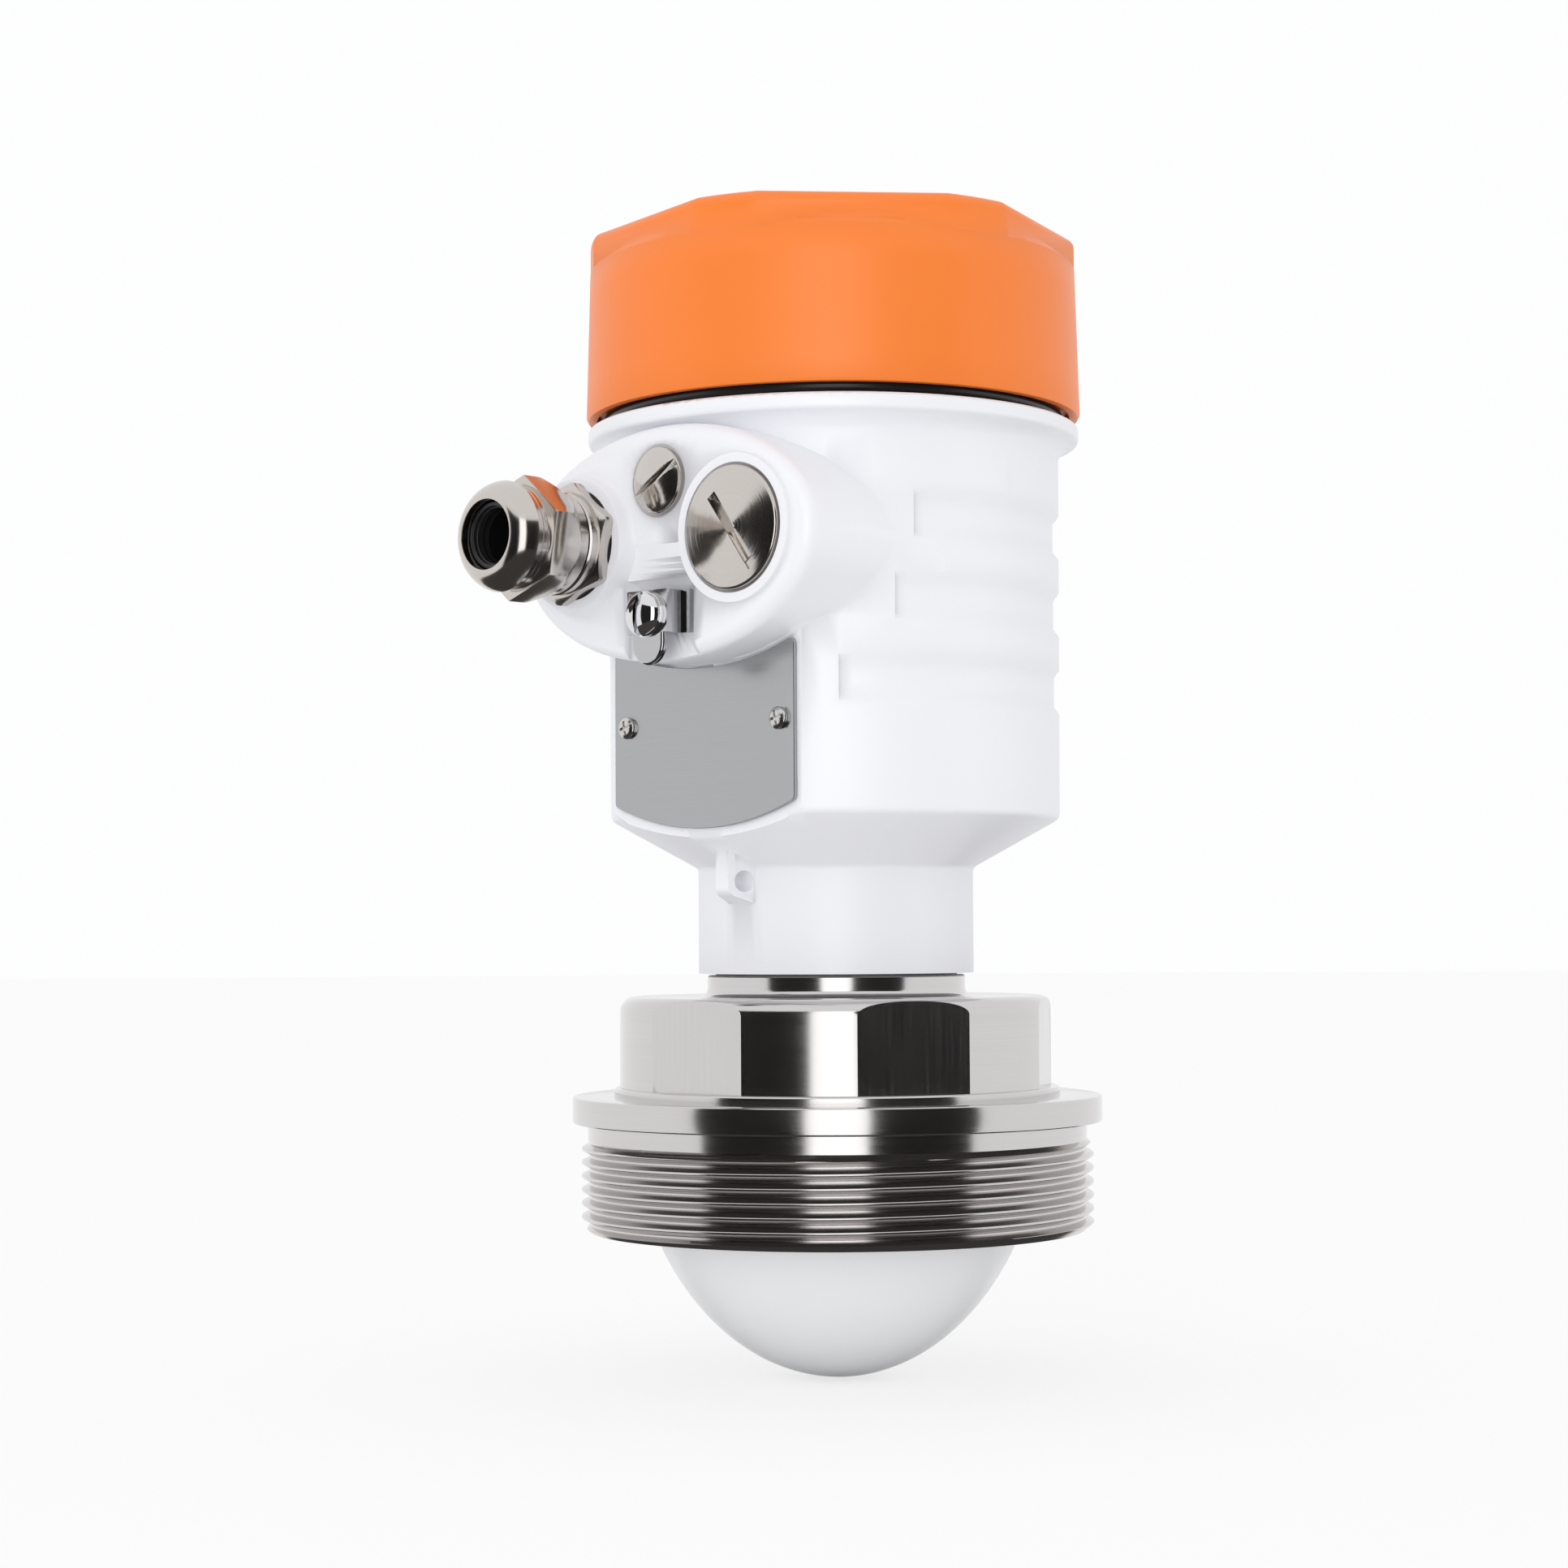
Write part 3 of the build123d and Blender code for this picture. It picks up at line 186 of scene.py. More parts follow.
def curved_card(name, first_degrees, last_degrees, radius, low, high, material):
    """A card bent round the sensor's axis between two azimuths from -Y."""
    shape = bmesh.new()
    foot = shape.verts.new((math.sin(math.radians(first_degrees)) * radius,
                            -math.cos(math.radians(first_degrees)) * radius, low))
    head = shape.verts.new((foot.co.x, foot.co.y, high))
    edge = shape.edges.new((foot, head))
    bmesh.ops.spin(shape, geom=[foot, head, edge], cent=(0, 0, 0), axis=(0, 0, 1),
                   angle=math.radians(last_degrees - first_degrees), steps=24)
    mesh = bpy.data.meshes.new(name)
    shape.to_mesh(mesh)
    shape.free()
    mesh.materials.append(material)
    return only_mirrored(bpy.data.objects.new(name, mesh))


dark_card = glowing("dark_card", (1.0, 0.95, 0.9), 0.02)
white_card = glowing("white_card", (1.0, 1.0, 1.0), 1.75)
camera_azimuth = math.degrees(view_azimuth)
card_foot = -0.9
card_head = 0.75
dark_distance = 1.3
white_distance = 1.29
dark_inner_edge = 14
dark_outer_edge = 62
white_edge = 13
curved_card("dark_card_left", camera_azimuth - dark_outer_edge, camera_azimuth - dark_inner_edge,
            dark_distance, card_foot, card_head, dark_card)
curved_card("dark_card_right", camera_azimuth + dark_inner_edge, camera_azimuth + dark_outer_edge,
            dark_distance, card_foot, card_head, dark_card)
curved_card("white_card", camera_azimuth - white_edge, camera_azimuth + white_edge,
            white_distance, card_foot, card_head, white_card)

sheet_radius = 1.25
sheet_height = -0.55
sheet_shape = bmesh.new()
bmesh.ops.create_circle(sheet_shape, cap_ends=True, segments=48, radius=sheet_radius)
bmesh.ops.translate(sheet_shape, verts=sheet_shape.verts, vec=(0, 0, sheet_height))
sheet_mesh = bpy.data.meshes.new("dark_sheet")
sheet_shape.to_mesh(sheet_mesh)
sheet_shape.free()
sheet_mesh.materials.append(glowing("dark_sheet", (1.0, 0.96, 0.92), 0.06))
only_mirrored(bpy.data.objects.new("dark_sheet", sheet_mesh))

# %% [markdown]
# The floor is a pale sheet. Part of its white comes from a weak glow that only the camera sees, which
# keeps it as bright as the room behind it while the sensor's soft contact shadow still shows.

# %% Floor
floor_white = (0.96, 0.96, 0.96, 1)
floor_radius = 6
glow_share = 0.72

floor_finish = bpy.data.materials.new("pale_floor")
floor_finish.use_nodes = True
floor_tree = floor_finish.node_tree
floor_paint = floor_tree.nodes["Principled BSDF"]
floor_paint.inputs["Base Color"].default_value = floor_white
floor_paint.inputs["Roughness"].default_value = 0.8
floor_paint.inputs["Specular IOR Level"].default_value = 0.0
floor_glow = floor_tree.nodes.new("ShaderNodeEmission")
floor_glow.inputs["Strength"].default_value = 1.0
floor_mix = floor_tree.nodes.new("ShaderNodeMixShader")
floor_ray = floor_tree.nodes.new("ShaderNodeLightPath")
floor_share = floor_tree.nodes.new("ShaderNodeMath")
floor_share.operation = "MULTIPLY"
floor_share.inputs[1].default_value = glow_share
floor_seen = floor_tree.nodes.new("ShaderNodeMath")
floor_seen.operation = "MAXIMUM"
floor_tree.links.new(floor_ray.outputs["Is Camera Ray"], floor_seen.inputs[0])
floor_tree.links.new(floor_ray.outputs["Is Glossy Ray"], floor_seen.inputs[1])
floor_tree.links.new(floor_seen.outputs[0], floor_share.inputs[0])
floor_tree.links.new(floor_share.outputs[0], floor_mix.inputs[0])
floor_tree.links.new(floor_paint.outputs[0], floor_mix.inputs[1])
floor_tree.links.new(floor_glow.outputs[0], floor_mix.inputs[2])
floor_tree.links.new(floor_mix.outputs[0], floor_tree.nodes["Material Output"].inputs["Surface"])

floor_shape = bmesh.new()
bmesh.ops.create_circle(floor_shape, cap_ends=True, segments=64, radius=floor_radius)
bmesh.ops.translate(floor_shape, verts=floor_shape.verts, vec=(0, 0, floor_height))
floor_mesh = bpy.data.meshes.new("floor")
floor_shape.to_mesh(floor_mesh)
floor_shape.free()
floor_mesh.materials.append(floor_finish)
floor = bpy.data.objects.new("floor", floor_mesh)
scene.collection.objects.link(floor)
floor.visible_glossy = False

# %% [markdown]
# Fine surface effects repeat on many finishes, so each one is a node group that is built once. A group only
# hands out numbers and colours. The shader that uses them stays in the material.

# %% Node group helpers


def new_group(name, inputs, outputs):
    """An empty shader group with float or colour sockets."""
    group = bpy.data.node_groups.new(name, "ShaderNodeTree")
    for label, kind, value in inputs:
        socket = group.interface.new_socket(label, in_out="INPUT", socket_type=kind)
        if value is not None:
            socket.default_value = value
    for label, kind in outputs:
        group.interface.new_socket(label, in_out="OUTPUT", socket_type=kind)
    return group, group.nodes.new("NodeGroupInput"), group.nodes.new("NodeGroupOutput")


def wire(tree, start, end):
    """Link an output socket to an input socket."""
    tree.links.new(start, end)


def math_node(tree, operation, first, second):
    """A Math node fed by sockets or plain numbers. Returns its output."""
    node = tree.nodes.new("ShaderNodeMath")
    node.operation = operation
    for index, value in enumerate((first, second)):
        if isinstance(value, (int, float)):
            node.inputs[index].default_value = value
        elif value is not None:
            wire(tree, value, node.inputs[index])
    return node.outputs[0]


def noise_node(tree, vector, scale, detail=2.0, rough=0.5):
    """A noise texture on a vector socket. Returns its factor."""
    node = tree.nodes.new("ShaderNodeTexNoise")
    node.inputs["Detail"].default_value = detail
    node.inputs["Roughness"].default_value = rough
    if isinstance(scale, (int, float)):
        node.inputs["Scale"].default_value = scale
    else:
        wire(tree, scale, node.inputs["Scale"])
    wire(tree, vector, node.inputs["Vector"])
    return node.outputs["Fac"]


def axis_distance(tree, parts):
    """Distance from the Z axis of a position that was split into X, Y and Z."""
    square_x = math_node(tree, "MULTIPLY", parts.outputs["X"], parts.outputs["X"])
    square_y = math_node(tree, "MULTIPLY", parts.outputs["Y"], parts.outputs["Y"])
    return math_node(tree, "SQRT", math_node(tree, "ADD", square_x, square_y), None)


FLOAT = "NodeSocketFloat"
VECTOR = "NodeSocketVector"

# %% [markdown]
# A lathe leaves rings that run round the axis. The group measures each point's distance from the axis and
# its height, and reads a noise over those two numbers, so every streak runs round with the cut. A little of
# the angle goes in too, which breaks the rings up as uneven cutting does. Lean tips all the grooves of a
# face outwards, like the fine saw teeth that a facing cut leaves. They are what throws those light and dark
# fans across a turned face.

# %% Turned grain group
turned_group, turned_in, turned_out = new_group(
    "turned_grain",
    [("Position", VECTOR, None), ("Fineness", FLOAT, 3000.0), ("Base Roughness", FLOAT, 0.2),
     ("Roughness Spread", FLOAT, 0.1), ("Lean", FLOAT, 0.0)],
    [("Height", FLOAT), ("Roughness", FLOAT), ("Streak", FLOAT)])
ring_drift = 0.00012
broad_share = 0.35
turned_parts = turned_group.nodes.new("ShaderNodeSeparateXYZ")
wire(turned_group, turned_in.outputs["Position"], turned_parts.inputs[0])
radius_out = axis_distance(turned_group, turned_parts)
angle_out = math_node(turned_group, "ARCTAN2", turned_parts.outputs["Y"], turned_parts.outputs["X"])
ring_place = turned_group.nodes.new("ShaderNodeCombineXYZ")
wire(turned_group, radius_out, ring_place.inputs["X"])
wire(turned_group, math_node(turned_group, "MULTIPLY", angle_out, ring_drift), ring_place.inputs["Y"])
wire(turned_group, turned_parts.outputs["Z"], ring_place.inputs["Z"])
fine_rings = noise_node(turned_group, ring_place.outputs[0], turned_in.outputs["Fineness"], 3.0, 0.6)
broad_rings = noise_node(turned_group, ring_place.outputs[0],
                         math_node(turned_group, "MULTIPLY", turned_in.outputs["Fineness"], 0.22), 1.0)
streaks = math_node(turned_group, "ADD", math_node(turned_group, "MULTIPLY", fine_rings, 1 - broad_share),
                    math_node(turned_group, "MULTIPLY", broad_rings, broad_share))
fall = math_node(turned_group, "MULTIPLY", radius_out, turned_in.outputs["Lean"])
wire(turned_group, math_node(turned_group, "SUBTRACT", streaks, fall), turned_out.inputs["Height"])
wire(turned_group, streaks, turned_out.inputs["Streak"])
centred = math_node(turned_group, "SUBTRACT", streaks, 0.5)
spread = math_node(turned_group, "MULTIPLY", centred, turned_in.outputs["Roughness Spread"])
wire(turned_group, math_node(turned_group, "ADD", turned_in.outputs["Base Roughness"], spread),
     turned_out.inputs["Roughness"])

# %% [markdown]
# Powder coat melts into a skin with a very fine orange peel. A brushed or milled face has straight
# scratches instead. Both are noise again: even in all directions for the powder, stretched along one axis
# for the brush.

# %% Powder coat and brushed grain groups
powder_group, powder_in, powder_out = new_group(
    "powder_skin",
    [("Position", VECTOR, None), ("Peel Scale", FLOAT, 900.0), ("Base Roughness", FLOAT, 0.4)],
    [("Height", FLOAT), ("Roughness", FLOAT), ("Mottle", FLOAT)])
peel = noise_node(powder_group, powder_in.outputs["Position"], powder_in.outputs["Peel Scale"], 2.0, 0.5)
grit = noise_node(powder_group, powder_in.outputs["Position"],
                  math_node(powder_group, "MULTIPLY", powder_in.outputs["Peel Scale"], 3.1), 1.0)
wire(powder_group, math_node(powder_group, "ADD", math_node(powder_group, "MULTIPLY", peel, 0.7),
                             math_node(powder_group, "MULTIPLY", grit, 0.3)), powder_out.inputs["Height"])
cloud = noise_node(powder_group, powder_in.outputs["Position"], 40.0, 2.0)
wire(powder_group, cloud, powder_out.inputs["Mottle"])
wire(powder_group, math_node(powder_group, "ADD", powder_in.outputs["Base Roughness"],
                             math_node(powder_group, "MULTIPLY",
                                       math_node(powder_group, "SUBTRACT", cloud, 0.5), 0.12)),
     powder_out.inputs["Roughness"])

brush_group, brush_in, brush_out = new_group(
    "brushed_grain",
    [("Position", VECTOR, None), ("Fineness", FLOAT, 2500.0), ("Base Roughness", FLOAT, 0.25)],
    [("Height", FLOAT), ("Roughness", FLOAT), ("Streak", FLOAT)])
stretch = brush_group.nodes.new("ShaderNodeVectorMath")
stretch.operation = "MULTIPLY"
stretch.inputs[1].default_value = (0.03, 1.0, 1.0)
wire(brush_group, brush_in.outputs["Position"], stretch.inputs[0])
scratches = noise_node(brush_group, stretch.outputs[0], brush_in.outputs["Fineness"], 3.0, 0.65)
wire(brush_group, scratches, brush_out.inputs["Height"])
wire(brush_group, scratches, brush_out.inputs["Streak"])
wire(brush_group, math_node(brush_group, "ADD", brush_in.outputs["Base Roughness"],
                            math_node(brush_group, "MULTIPLY",
                                      math_node(brush_group, "SUBTRACT", scratches, 0.5), 0.16)),
     brush_out.inputs["Roughness"])

# %% [markdown]
# A thread's flanks get painted shade: their steel colour is mixed towards a darker one, standing in for the
# shade between the teeth,
# # while crests and roots keep the bright steel. The group knows the flanks by their distance from the axis.

# %% Thread flank shade group
flank_shade_group, tone_in, tone_out = new_group(
    "thread_flank_shade",
    [("Position", VECTOR, None), ("Crest", FLOAT, 0.04394), ("Root", FLOAT, 0.04247),
     ("Edge", FLOAT, 0.0001)],
    [("Flank", FLOAT)])
tone_parts = flank_shade_group.nodes.new("ShaderNodeSeparateXYZ")
wire(flank_shade_group, tone_in.outputs["Position"], tone_parts.inputs[0])
tone_radius = axis_distance(flank_shade_group, tone_parts)
below_crest = math_node(flank_shade_group, "DIVIDE", math_node(
    flank_shade_group, "SUBTRACT", tone_in.outputs["Crest"], tone_radius), tone_in.outputs["Edge"])
above_root = math_node(flank_shade_group, "DIVIDE", math_node(
    flank_shade_group, "SUBTRACT", tone_radius, tone_in.outputs["Root"]), tone_in.outputs["Edge"])
nearest = math_node(flank_shade_group, "MINIMUM", below_crest, above_root)
started = math_node(flank_shade_group, "MAXIMUM", math_node(flank_shade_group, "SUBTRACT", nearest, 0.5), 0.0)
wire(flank_shade_group, math_node(flank_shade_group, "MINIMUM", started, 1.0), tone_out.inputs["Flank"])

# %% [markdown]
# Each finish is one Principled shader with its plain numbers set on the shader itself. A small function
# places a group in front of it, with a Mapping node that moves or turns the pattern, and a Bump node that
# gives the grain its depth in metres.

# %% Finish builder
MIX_LOW = 6
MIX_HIGH = 7
MIX_RESULT = 2


def mixed_colour(tree, low, high, factor):
    """Blend two colours by a socket and feed the Principled shader's Base Color."""
    blend = tree.nodes.new("ShaderNodeMix")
    blend.data_type = "RGBA"
    blend.inputs[MIX_LOW].default_value = (*low, 1)
    blend.inputs[MIX_HIGH].default_value = (*high, 1)
    wire(tree, factor, blend.inputs[0])
    wire(tree, blend.outputs[MIX_RESULT], tree.nodes["Principled BSDF"].inputs["Base Color"])


def finish(name, colour, metallic, roughness, group=None, settings=None, grain_height=0.0,
           tint=0.0, centre=(0, 0, 0), turn=(0, 0, 0)):
    """A material whose grain comes from one of the groups."""
    material = bpy.data.materials.new(name)
    material.use_nodes = True
    tree = material.node_tree
    shader = tree.nodes["Principled BSDF"]
    shader.inputs["Base Color"].default_value = (*colour, 1)
    shader.inputs["Metallic"].default_value = metallic
    shader.inputs["Roughness"].default_value = roughness
    if group is None:
        return material
    place = tree.nodes.new("ShaderNodeTexCoord")
    mapping = tree.nodes.new("ShaderNodeMapping")
    mapping.vector_type = "TEXTURE"
    mapping.inputs["Location"].default_value = centre
    mapping.inputs["Rotation"].default_value = turn
    wire(tree, place.outputs["Object"], mapping.inputs["Vector"])
    grain = tree.nodes.new("ShaderNodeGroup")
    grain.node_tree = group
    wire(tree, mapping.outputs[0], grain.inputs["Position"])
    grain.inputs["Base Roughness"].default_value = roughness
    for label, value in (settings or {}).items():
        grain.inputs[label].default_value = value
    wire(tree, grain.outputs["Roughness"], shader.inputs["Roughness"])
    bump = tree.nodes.new("ShaderNodeBump")
    bump.inputs["Distance"].default_value = grain_height
    bump.inputs["Strength"].default_value = 1.0
    wire(tree, grain.outputs["Height"], bump.inputs["Height"])
    wire(tree, bump.outputs[0], shader.inputs["Normal"])
    if tint:
        darker = [channel * (1 - tint) for channel in colour]
        lighter = [min(1, channel * (1 + tint)) for channel in colour]
        mixed_colour(tree, darker, lighter, grain.outputs[2])
    return material


# %% [markdown]
# Three metals carry the look. The fitting is bright stainless steel, turned or milled. The gland and plugs
# are nickel on brass, a warmer tone. The clamp is stamped and polished, so it is nearly a mirror. A thin
# tint from the grain keeps any of them from being one flat colour.

# %% Finishes
gland_x = -17.2
entry_z = 97.015
vent_z = 106.315
forward_turn = (math.radians(90), 0, 0)
steel_colour = (0.62, 0.605, 0.60)
nickel_colour = (0.60, 0.565, 0.53)
chrome_colour = (0.50, 0.50, 0.51)
turned_steel = finish("turned_steel", steel_colour, 1.0, 0.15, turned_group,
                      {"Fineness": 2600.0, "Roughness Spread": 0.10}, 0.000003, 0.06)
milled_steel = finish("milled_steel", steel_colour, 1.0, 0.20, brush_group,
                      {"Fineness": 2200.0}, 0.000003, 0.05, turn=(0, math.radians(90), 0))
thread_steel = finish("thread_steel", steel_colour, 1.0, 0.17, turned_group,
                      {"Fineness": 2600.0, "Roughness Spread": 0.10}, 0.000003)
gland_nickel = finish("gland_nickel", nickel_colour, 1.0, 0.16, turned_group,
                      {"Fineness": 3500.0, "Roughness Spread": 0.06}, 0.0000015, 0.04,
                      (gland_x * MM, 0, entry_z * MM), forward_turn)
plug_nickel = finish("plug_nickel", nickel_colour, 1.0, 0.16, turned_group,
                     {"Fineness": 2200.0, "Roughness Spread": 0.10, "Lean": 6500.0}, 0.00004, 0.05,
                     (-gland_x * MM, 0, entry_z * MM), forward_turn)
vent_nickel = finish("vent_nickel", nickel_colour, 1.0, 0.14, turned_group,
                     {"Fineness": 2600.0, "Roughness Spread": 0.10, "Lean": 8000.0}, 0.00002, 0.05,
                     (0, 0, vent_z * MM), forward_turn)
clamp_chrome = finish("clamp_chrome", chrome_colour, 1.0, 0.09, brush_group,
                      {"Fineness": 900.0}, 0.000006, 0.04)
clamp_polish = finish("clamp_polish", (0.72, 0.72, 0.73), 1.0, 0.06)
plate_steel = finish("plate_steel", (0.43, 0.435, 0.44), 1.0, 0.24, brush_group,
                     {"Fineness": 2600.0}, 0.000004, 0.05)
plain_steel = finish("plain_steel", (0.62, 0.61, 0.60), 1.0, 0.18, brush_group,
                     {"Fineness": 2000.0}, 0.000002, 0.04)
white_coat = finish("white_coat", (0.865, 0.87, 0.905), 0.0, 0.36, powder_group,
                    {"Peel Scale": 800.0}, 0.00002, 0.012)
orange_coat = finish("orange_coat", (0.93, 0.215, 0.022), 0.0, 0.38, powder_group,
                     {"Peel Scale": 800.0}, 0.00002, 0.03)
lens_white = finish("lens_white", (0.95, 0.955, 0.97), 0.0, 0.34, powder_group,
                    {"Peel Scale": 300.0}, 0.000003, 0.01)
black_rubber = finish("black_rubber", (0.014, 0.014, 0.015), 0.0, 0.30, powder_group,
                      {"Peel Scale": 1500.0}, 0.00001, 0.2)
black_plastic = finish("black_plastic", (0.03, 0.03, 0.033), 0.0, 0.42, powder_group,
                       {"Peel Scale": 1200.0}, 0.00001, 0.15)
grey_plastic = finish("grey_plastic", (0.28, 0.30, 0.31), 0.0, 0.45, powder_group,
                      {"Peel Scale": 1200.0}, 0.00001, 0.08)
green_board = finish("green_board", (0.03, 0.20, 0.09), 0.0, 0.35, powder_group,
                     {"Peel Scale": 1200.0}, 0.000005, 0.1)

# Painted shade: the darker steel colour that the thread's flanks are mixed towards.
flank_shade_colour = (0.54, 0.52, 0.505)
thread_tree = thread_steel.node_tree
thread_place = thread_tree.nodes.new("ShaderNodeTexCoord")
thread_flank_shade = thread_tree.nodes.new("ShaderNodeGroup")
thread_flank_shade.node_tree = flank_shade_group
wire(thread_tree, thread_place.outputs["Object"], thread_flank_shade.inputs["Position"])
# The flank mask mixes the thread's base colour from bright steel towards the painted shade colour.
mixed_colour(thread_tree, steel_colour, flank_shade_colour, thread_flank_shade.outputs["Flank"])

# %% [markdown]
# New pieces start as a short chain of vertices, which spin turns round an axis like a lathe. Soften puts a
# small bevel on every sharp ring, because no real edge is perfectly sharp and the bevel is what catches
# the light.

# %% Lathe helpers


def everything(shape):
    """All corners, edges and faces of a shape, for the operators that cut."""
    return shape.verts[:] + shape.edges[:] + shape.faces[:]


def bow(centre_radius, centre_height, radius, first, last, steps=6):
    """Points of a rounded corner, in the (radius, height) plane, angles in degrees."""
    points = []
    for step in range(steps + 1):
        angle = math.radians(first + (last - first) * step / steps)
        points.append((centre_radius + radius * math.cos(angle), centre_height + radius * math.sin(angle)))
    return points


def turn_shape(points, steps=160, closed=False):
    """Spin (radius, height) points, in mm, round Z. A closed profile makes a ring."""
    shape = bmesh.new()
    chain = [shape.verts.new((radius * MM, 0, height * MM)) for radius, height in points]
    edges = [shape.edges.new(pair) for pair in zip(chain, chain[1:])]
    if closed:
        edges.append(shape.edges.new((chain[-1], chain[0])))
    bmesh.ops.spin(shape, geom=chain + edges, cent=(0, 0, 0), axis=(0, 0, 1),
                   angle=math.tau, steps=steps, use_merge=True)
    bmesh.ops.remove_doubles(shape, verts=shape.verts, dist=1e-7)
    bmesh.ops.recalc_face_normals(shape, faces=shape.faces)
    return shape


def soften(shape, width, segments=2, sharper_than=28, among=None):
    """Bevel the edges that are sharper than this angle, width in mm."""
    shape.normal_update()
    limit = math.radians(sharper_than)
    sharp = [edge for edge in shape.edges if len(edge.link_faces) == 2 and edge.calc_face_angle(0) > limit]
    edges = [edge for edge in sharp if among is None or among(edge)]
    bmesh.ops.bevel(shape, geom=edges, offset=width * MM, segments=segments, profile=0.5,
                    affect="EDGES", clamp_overlap=True, material=-1)


def mill_flats(shape, apothem, count, first_degrees, flat_slot=None):
    """Slice a turned blank with planes round its axis and close each cut with a flat face."""
    for index in range(count):
        angle = math.radians(first_degrees + 360 * index / count)
        normal = Vector((math.cos(angle), math.sin(angle), 0))
        cut = bmesh.ops.bisect_plane(shape, geom=everything(shape),
                                     plane_co=normal * apothem * MM, plane_no=normal, clear_outer=True)
        rim = [item for item in cut["geom_cut"] if isinstance(item, bmesh.types.BMEdge)]
        made = bmesh.ops.edgeloop_fill(shape, edges=rim)
        for face in made["faces"]:
            if flat_slot is not None:
                face.material_index = flat_slot


def split_off(shape, normal, distance):
    """Keep what lies beyond a plane, given by its normal and its distance in mm, and close the cut."""
    cut = bmesh.ops.bisect_plane(shape, geom=everything(shape),
                                 plane_co=normal * distance * MM, plane_no=normal, clear_inner=True)
    rim = [item for item in cut["geom_cut"] if isinstance(item, bmesh.types.BMEdge)]
    bmesh.ops.edgeloop_fill(shape, edges=rim)


def face_front(shape, x, z):
    """Lay a shape that was turned round Z so that its height runs towards -Y, then put it in place."""
    lay = Matrix.Rotation(math.radians(90), 3, "X")
    bmesh.ops.rotate(shape, verts=shape.verts, cent=(0, 0, 0), matrix=lay)
    bmesh.ops.translate(shape, verts=shape.verts, vec=(x * MM, 0, z * MM))


def join_shapes(*shapes):
    """Collect several shapes in the first one."""
    whole = shapes[0]
    for extra in shapes[1:]:
        mesh = bpy.data.meshes.new("part")
        extra.to_mesh(mesh)
        extra.free()
        whole.from_mesh(mesh)
        bpy.data.meshes.remove(mesh)
    return whole


def make_piece(name, shape, body, finishes, stands_for=(), sharp=30):
    """Turn a shape into a finished object that rides on a body."""
    mesh = bpy.data.meshes.new(name)
    shape.to_mesh(mesh)
    shape.free()
    mesh.polygons.foreach_set("use_smooth", [True] * len(mesh.polygons))
    mesh.set_sharp_from_angle(angle=math.radians(sharp))
    for material in finishes:
        mesh.materials.append(material)
    piece = bpy.data.objects.new(name, mesh)
    scene.collection.objects.link(piece)
    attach(piece, body)
    if stands_for:
        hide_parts(*stands_for)
    print(name, len(mesh.polygons), "faces")
    return piece


# %% [markdown]
# The pipe thread is a true helix, with the 55 degree form and the round roots and crests that pipe threads
# have. One tooth is repeated along Z, and a single full turn of spin with a rise of one pitch makes the end
# of each tooth meet the start of the next. The strip is then trimmed, and its tips are pushed in where the
# real thread runs out into the relief and the lead-in chamfer.

# %% Screw thread


def helix(points, pitch, rows, low, steps):
    """Sweep a chain of repeated tooth points one full turn, rising one pitch."""
    shape = bmesh.new()
    chain = [shape.verts.new((radius * MM, 0, (low + height + row * pitch) * MM))
             for row in range(rows) for radius, height in points]
    edges = [shape.edges.new(pair) for pair in zip(chain, chain[1:])]
    bmesh.ops.spin(shape, geom=chain + edges, cent=(0, 0, 0), axis=(0, 0, 1),
                   dvec=(0, 0, pitch * MM / steps), angle=math.tau, steps=steps)
    bmesh.ops.remove_doubles(shape, verts=shape.verts, dist=2e-6)
    return shape


def trim(shape, height, keep_below):
    """Cut a shape at a height and drop one side."""
    bmesh.ops.bisect_plane(shape, geom=everything(shape),
                           plane_co=(0, 0, height * MM), plane_no=(0, 0, 1),
                           clear_outer=keep_below, clear_inner=not keep_below)


def set_radius(vertex, radius):
    """Move a vertex straight in or out to this distance from the Z axis, in mm."""
    factor = radius * MM / math.hypot(vertex.co.x, vertex.co.y)
    vertex.co.x *= factor
    vertex.co.y *= factor


def limit_radius(shape, envelope):
    """Push vertices in until none stands out of the envelope, a radius for each height in mm."""
    for vertex in shape.verts:
        allowed = envelope(vertex.co.z / MM)
        if math.hypot(vertex.co.x, vertex.co.y) > allowed * MM:
            set_radius(vertex, allowed)


def tooth(crest, root, pitch, rounding, flank_tilt=62.5, steps=3):
    """One pitch of a 55 degree thread, starting in the root, with the same arc in root and crest."""
    valley = []
    hill = []
    for step in range(-steps, steps + 1):
        angle = math.radians(flank_tilt * step / steps)
        along = rounding * math.sin(angle)
        rise = rounding * (1 - math.cos(angle))
        valley.append((root + rise, along))
        hill.append((crest - rise, pitch / 2 + along))
    return valley + hill


def ring_at(shape, height):
    """Boundary edges that lie at this height."""
    return [edge for edge in shape.edges if edge.is_boundary
            and all(abs(vertex.co.z / MM - height) < 0.001 for vertex in edge.verts)]


def extend_ring(shape, edges, radius, height):
    """Extrude a boundary ring to a new radius and height, in mm."""
    grown = bmesh.ops.extrude_edge_only(shape, edges=edges)["geom"]
    for vertex in [item for item in grown if isinstance(item, bmesh.types.BMVert)]:
        set_radius(vertex, radius)
        vertex.co.z = height * MM
    return [item for item in grown if isinstance(item, bmesh.types.BMEdge) and item.is_boundary]


pipe_pitch = 2.309
pipe_crest = 43.942
depth_share = 0.6403
rounding_share = 0.1373
pipe_root = pipe_crest - depth_share * pipe_pitch
pipe_rounding = rounding_share * pipe_pitch
thread_end = -18.34
thread_bevel = 1.3
relief_radius = 42.82
relief_end = -3.0
mouth_radius = 32.0
mouth_edge = 0.4
mouth_depth = 8
thread_start = relief_end - (pipe_crest - relief_radius)
helix_phase = -0.2
spin_steps = 220
turns_with_spare = 10


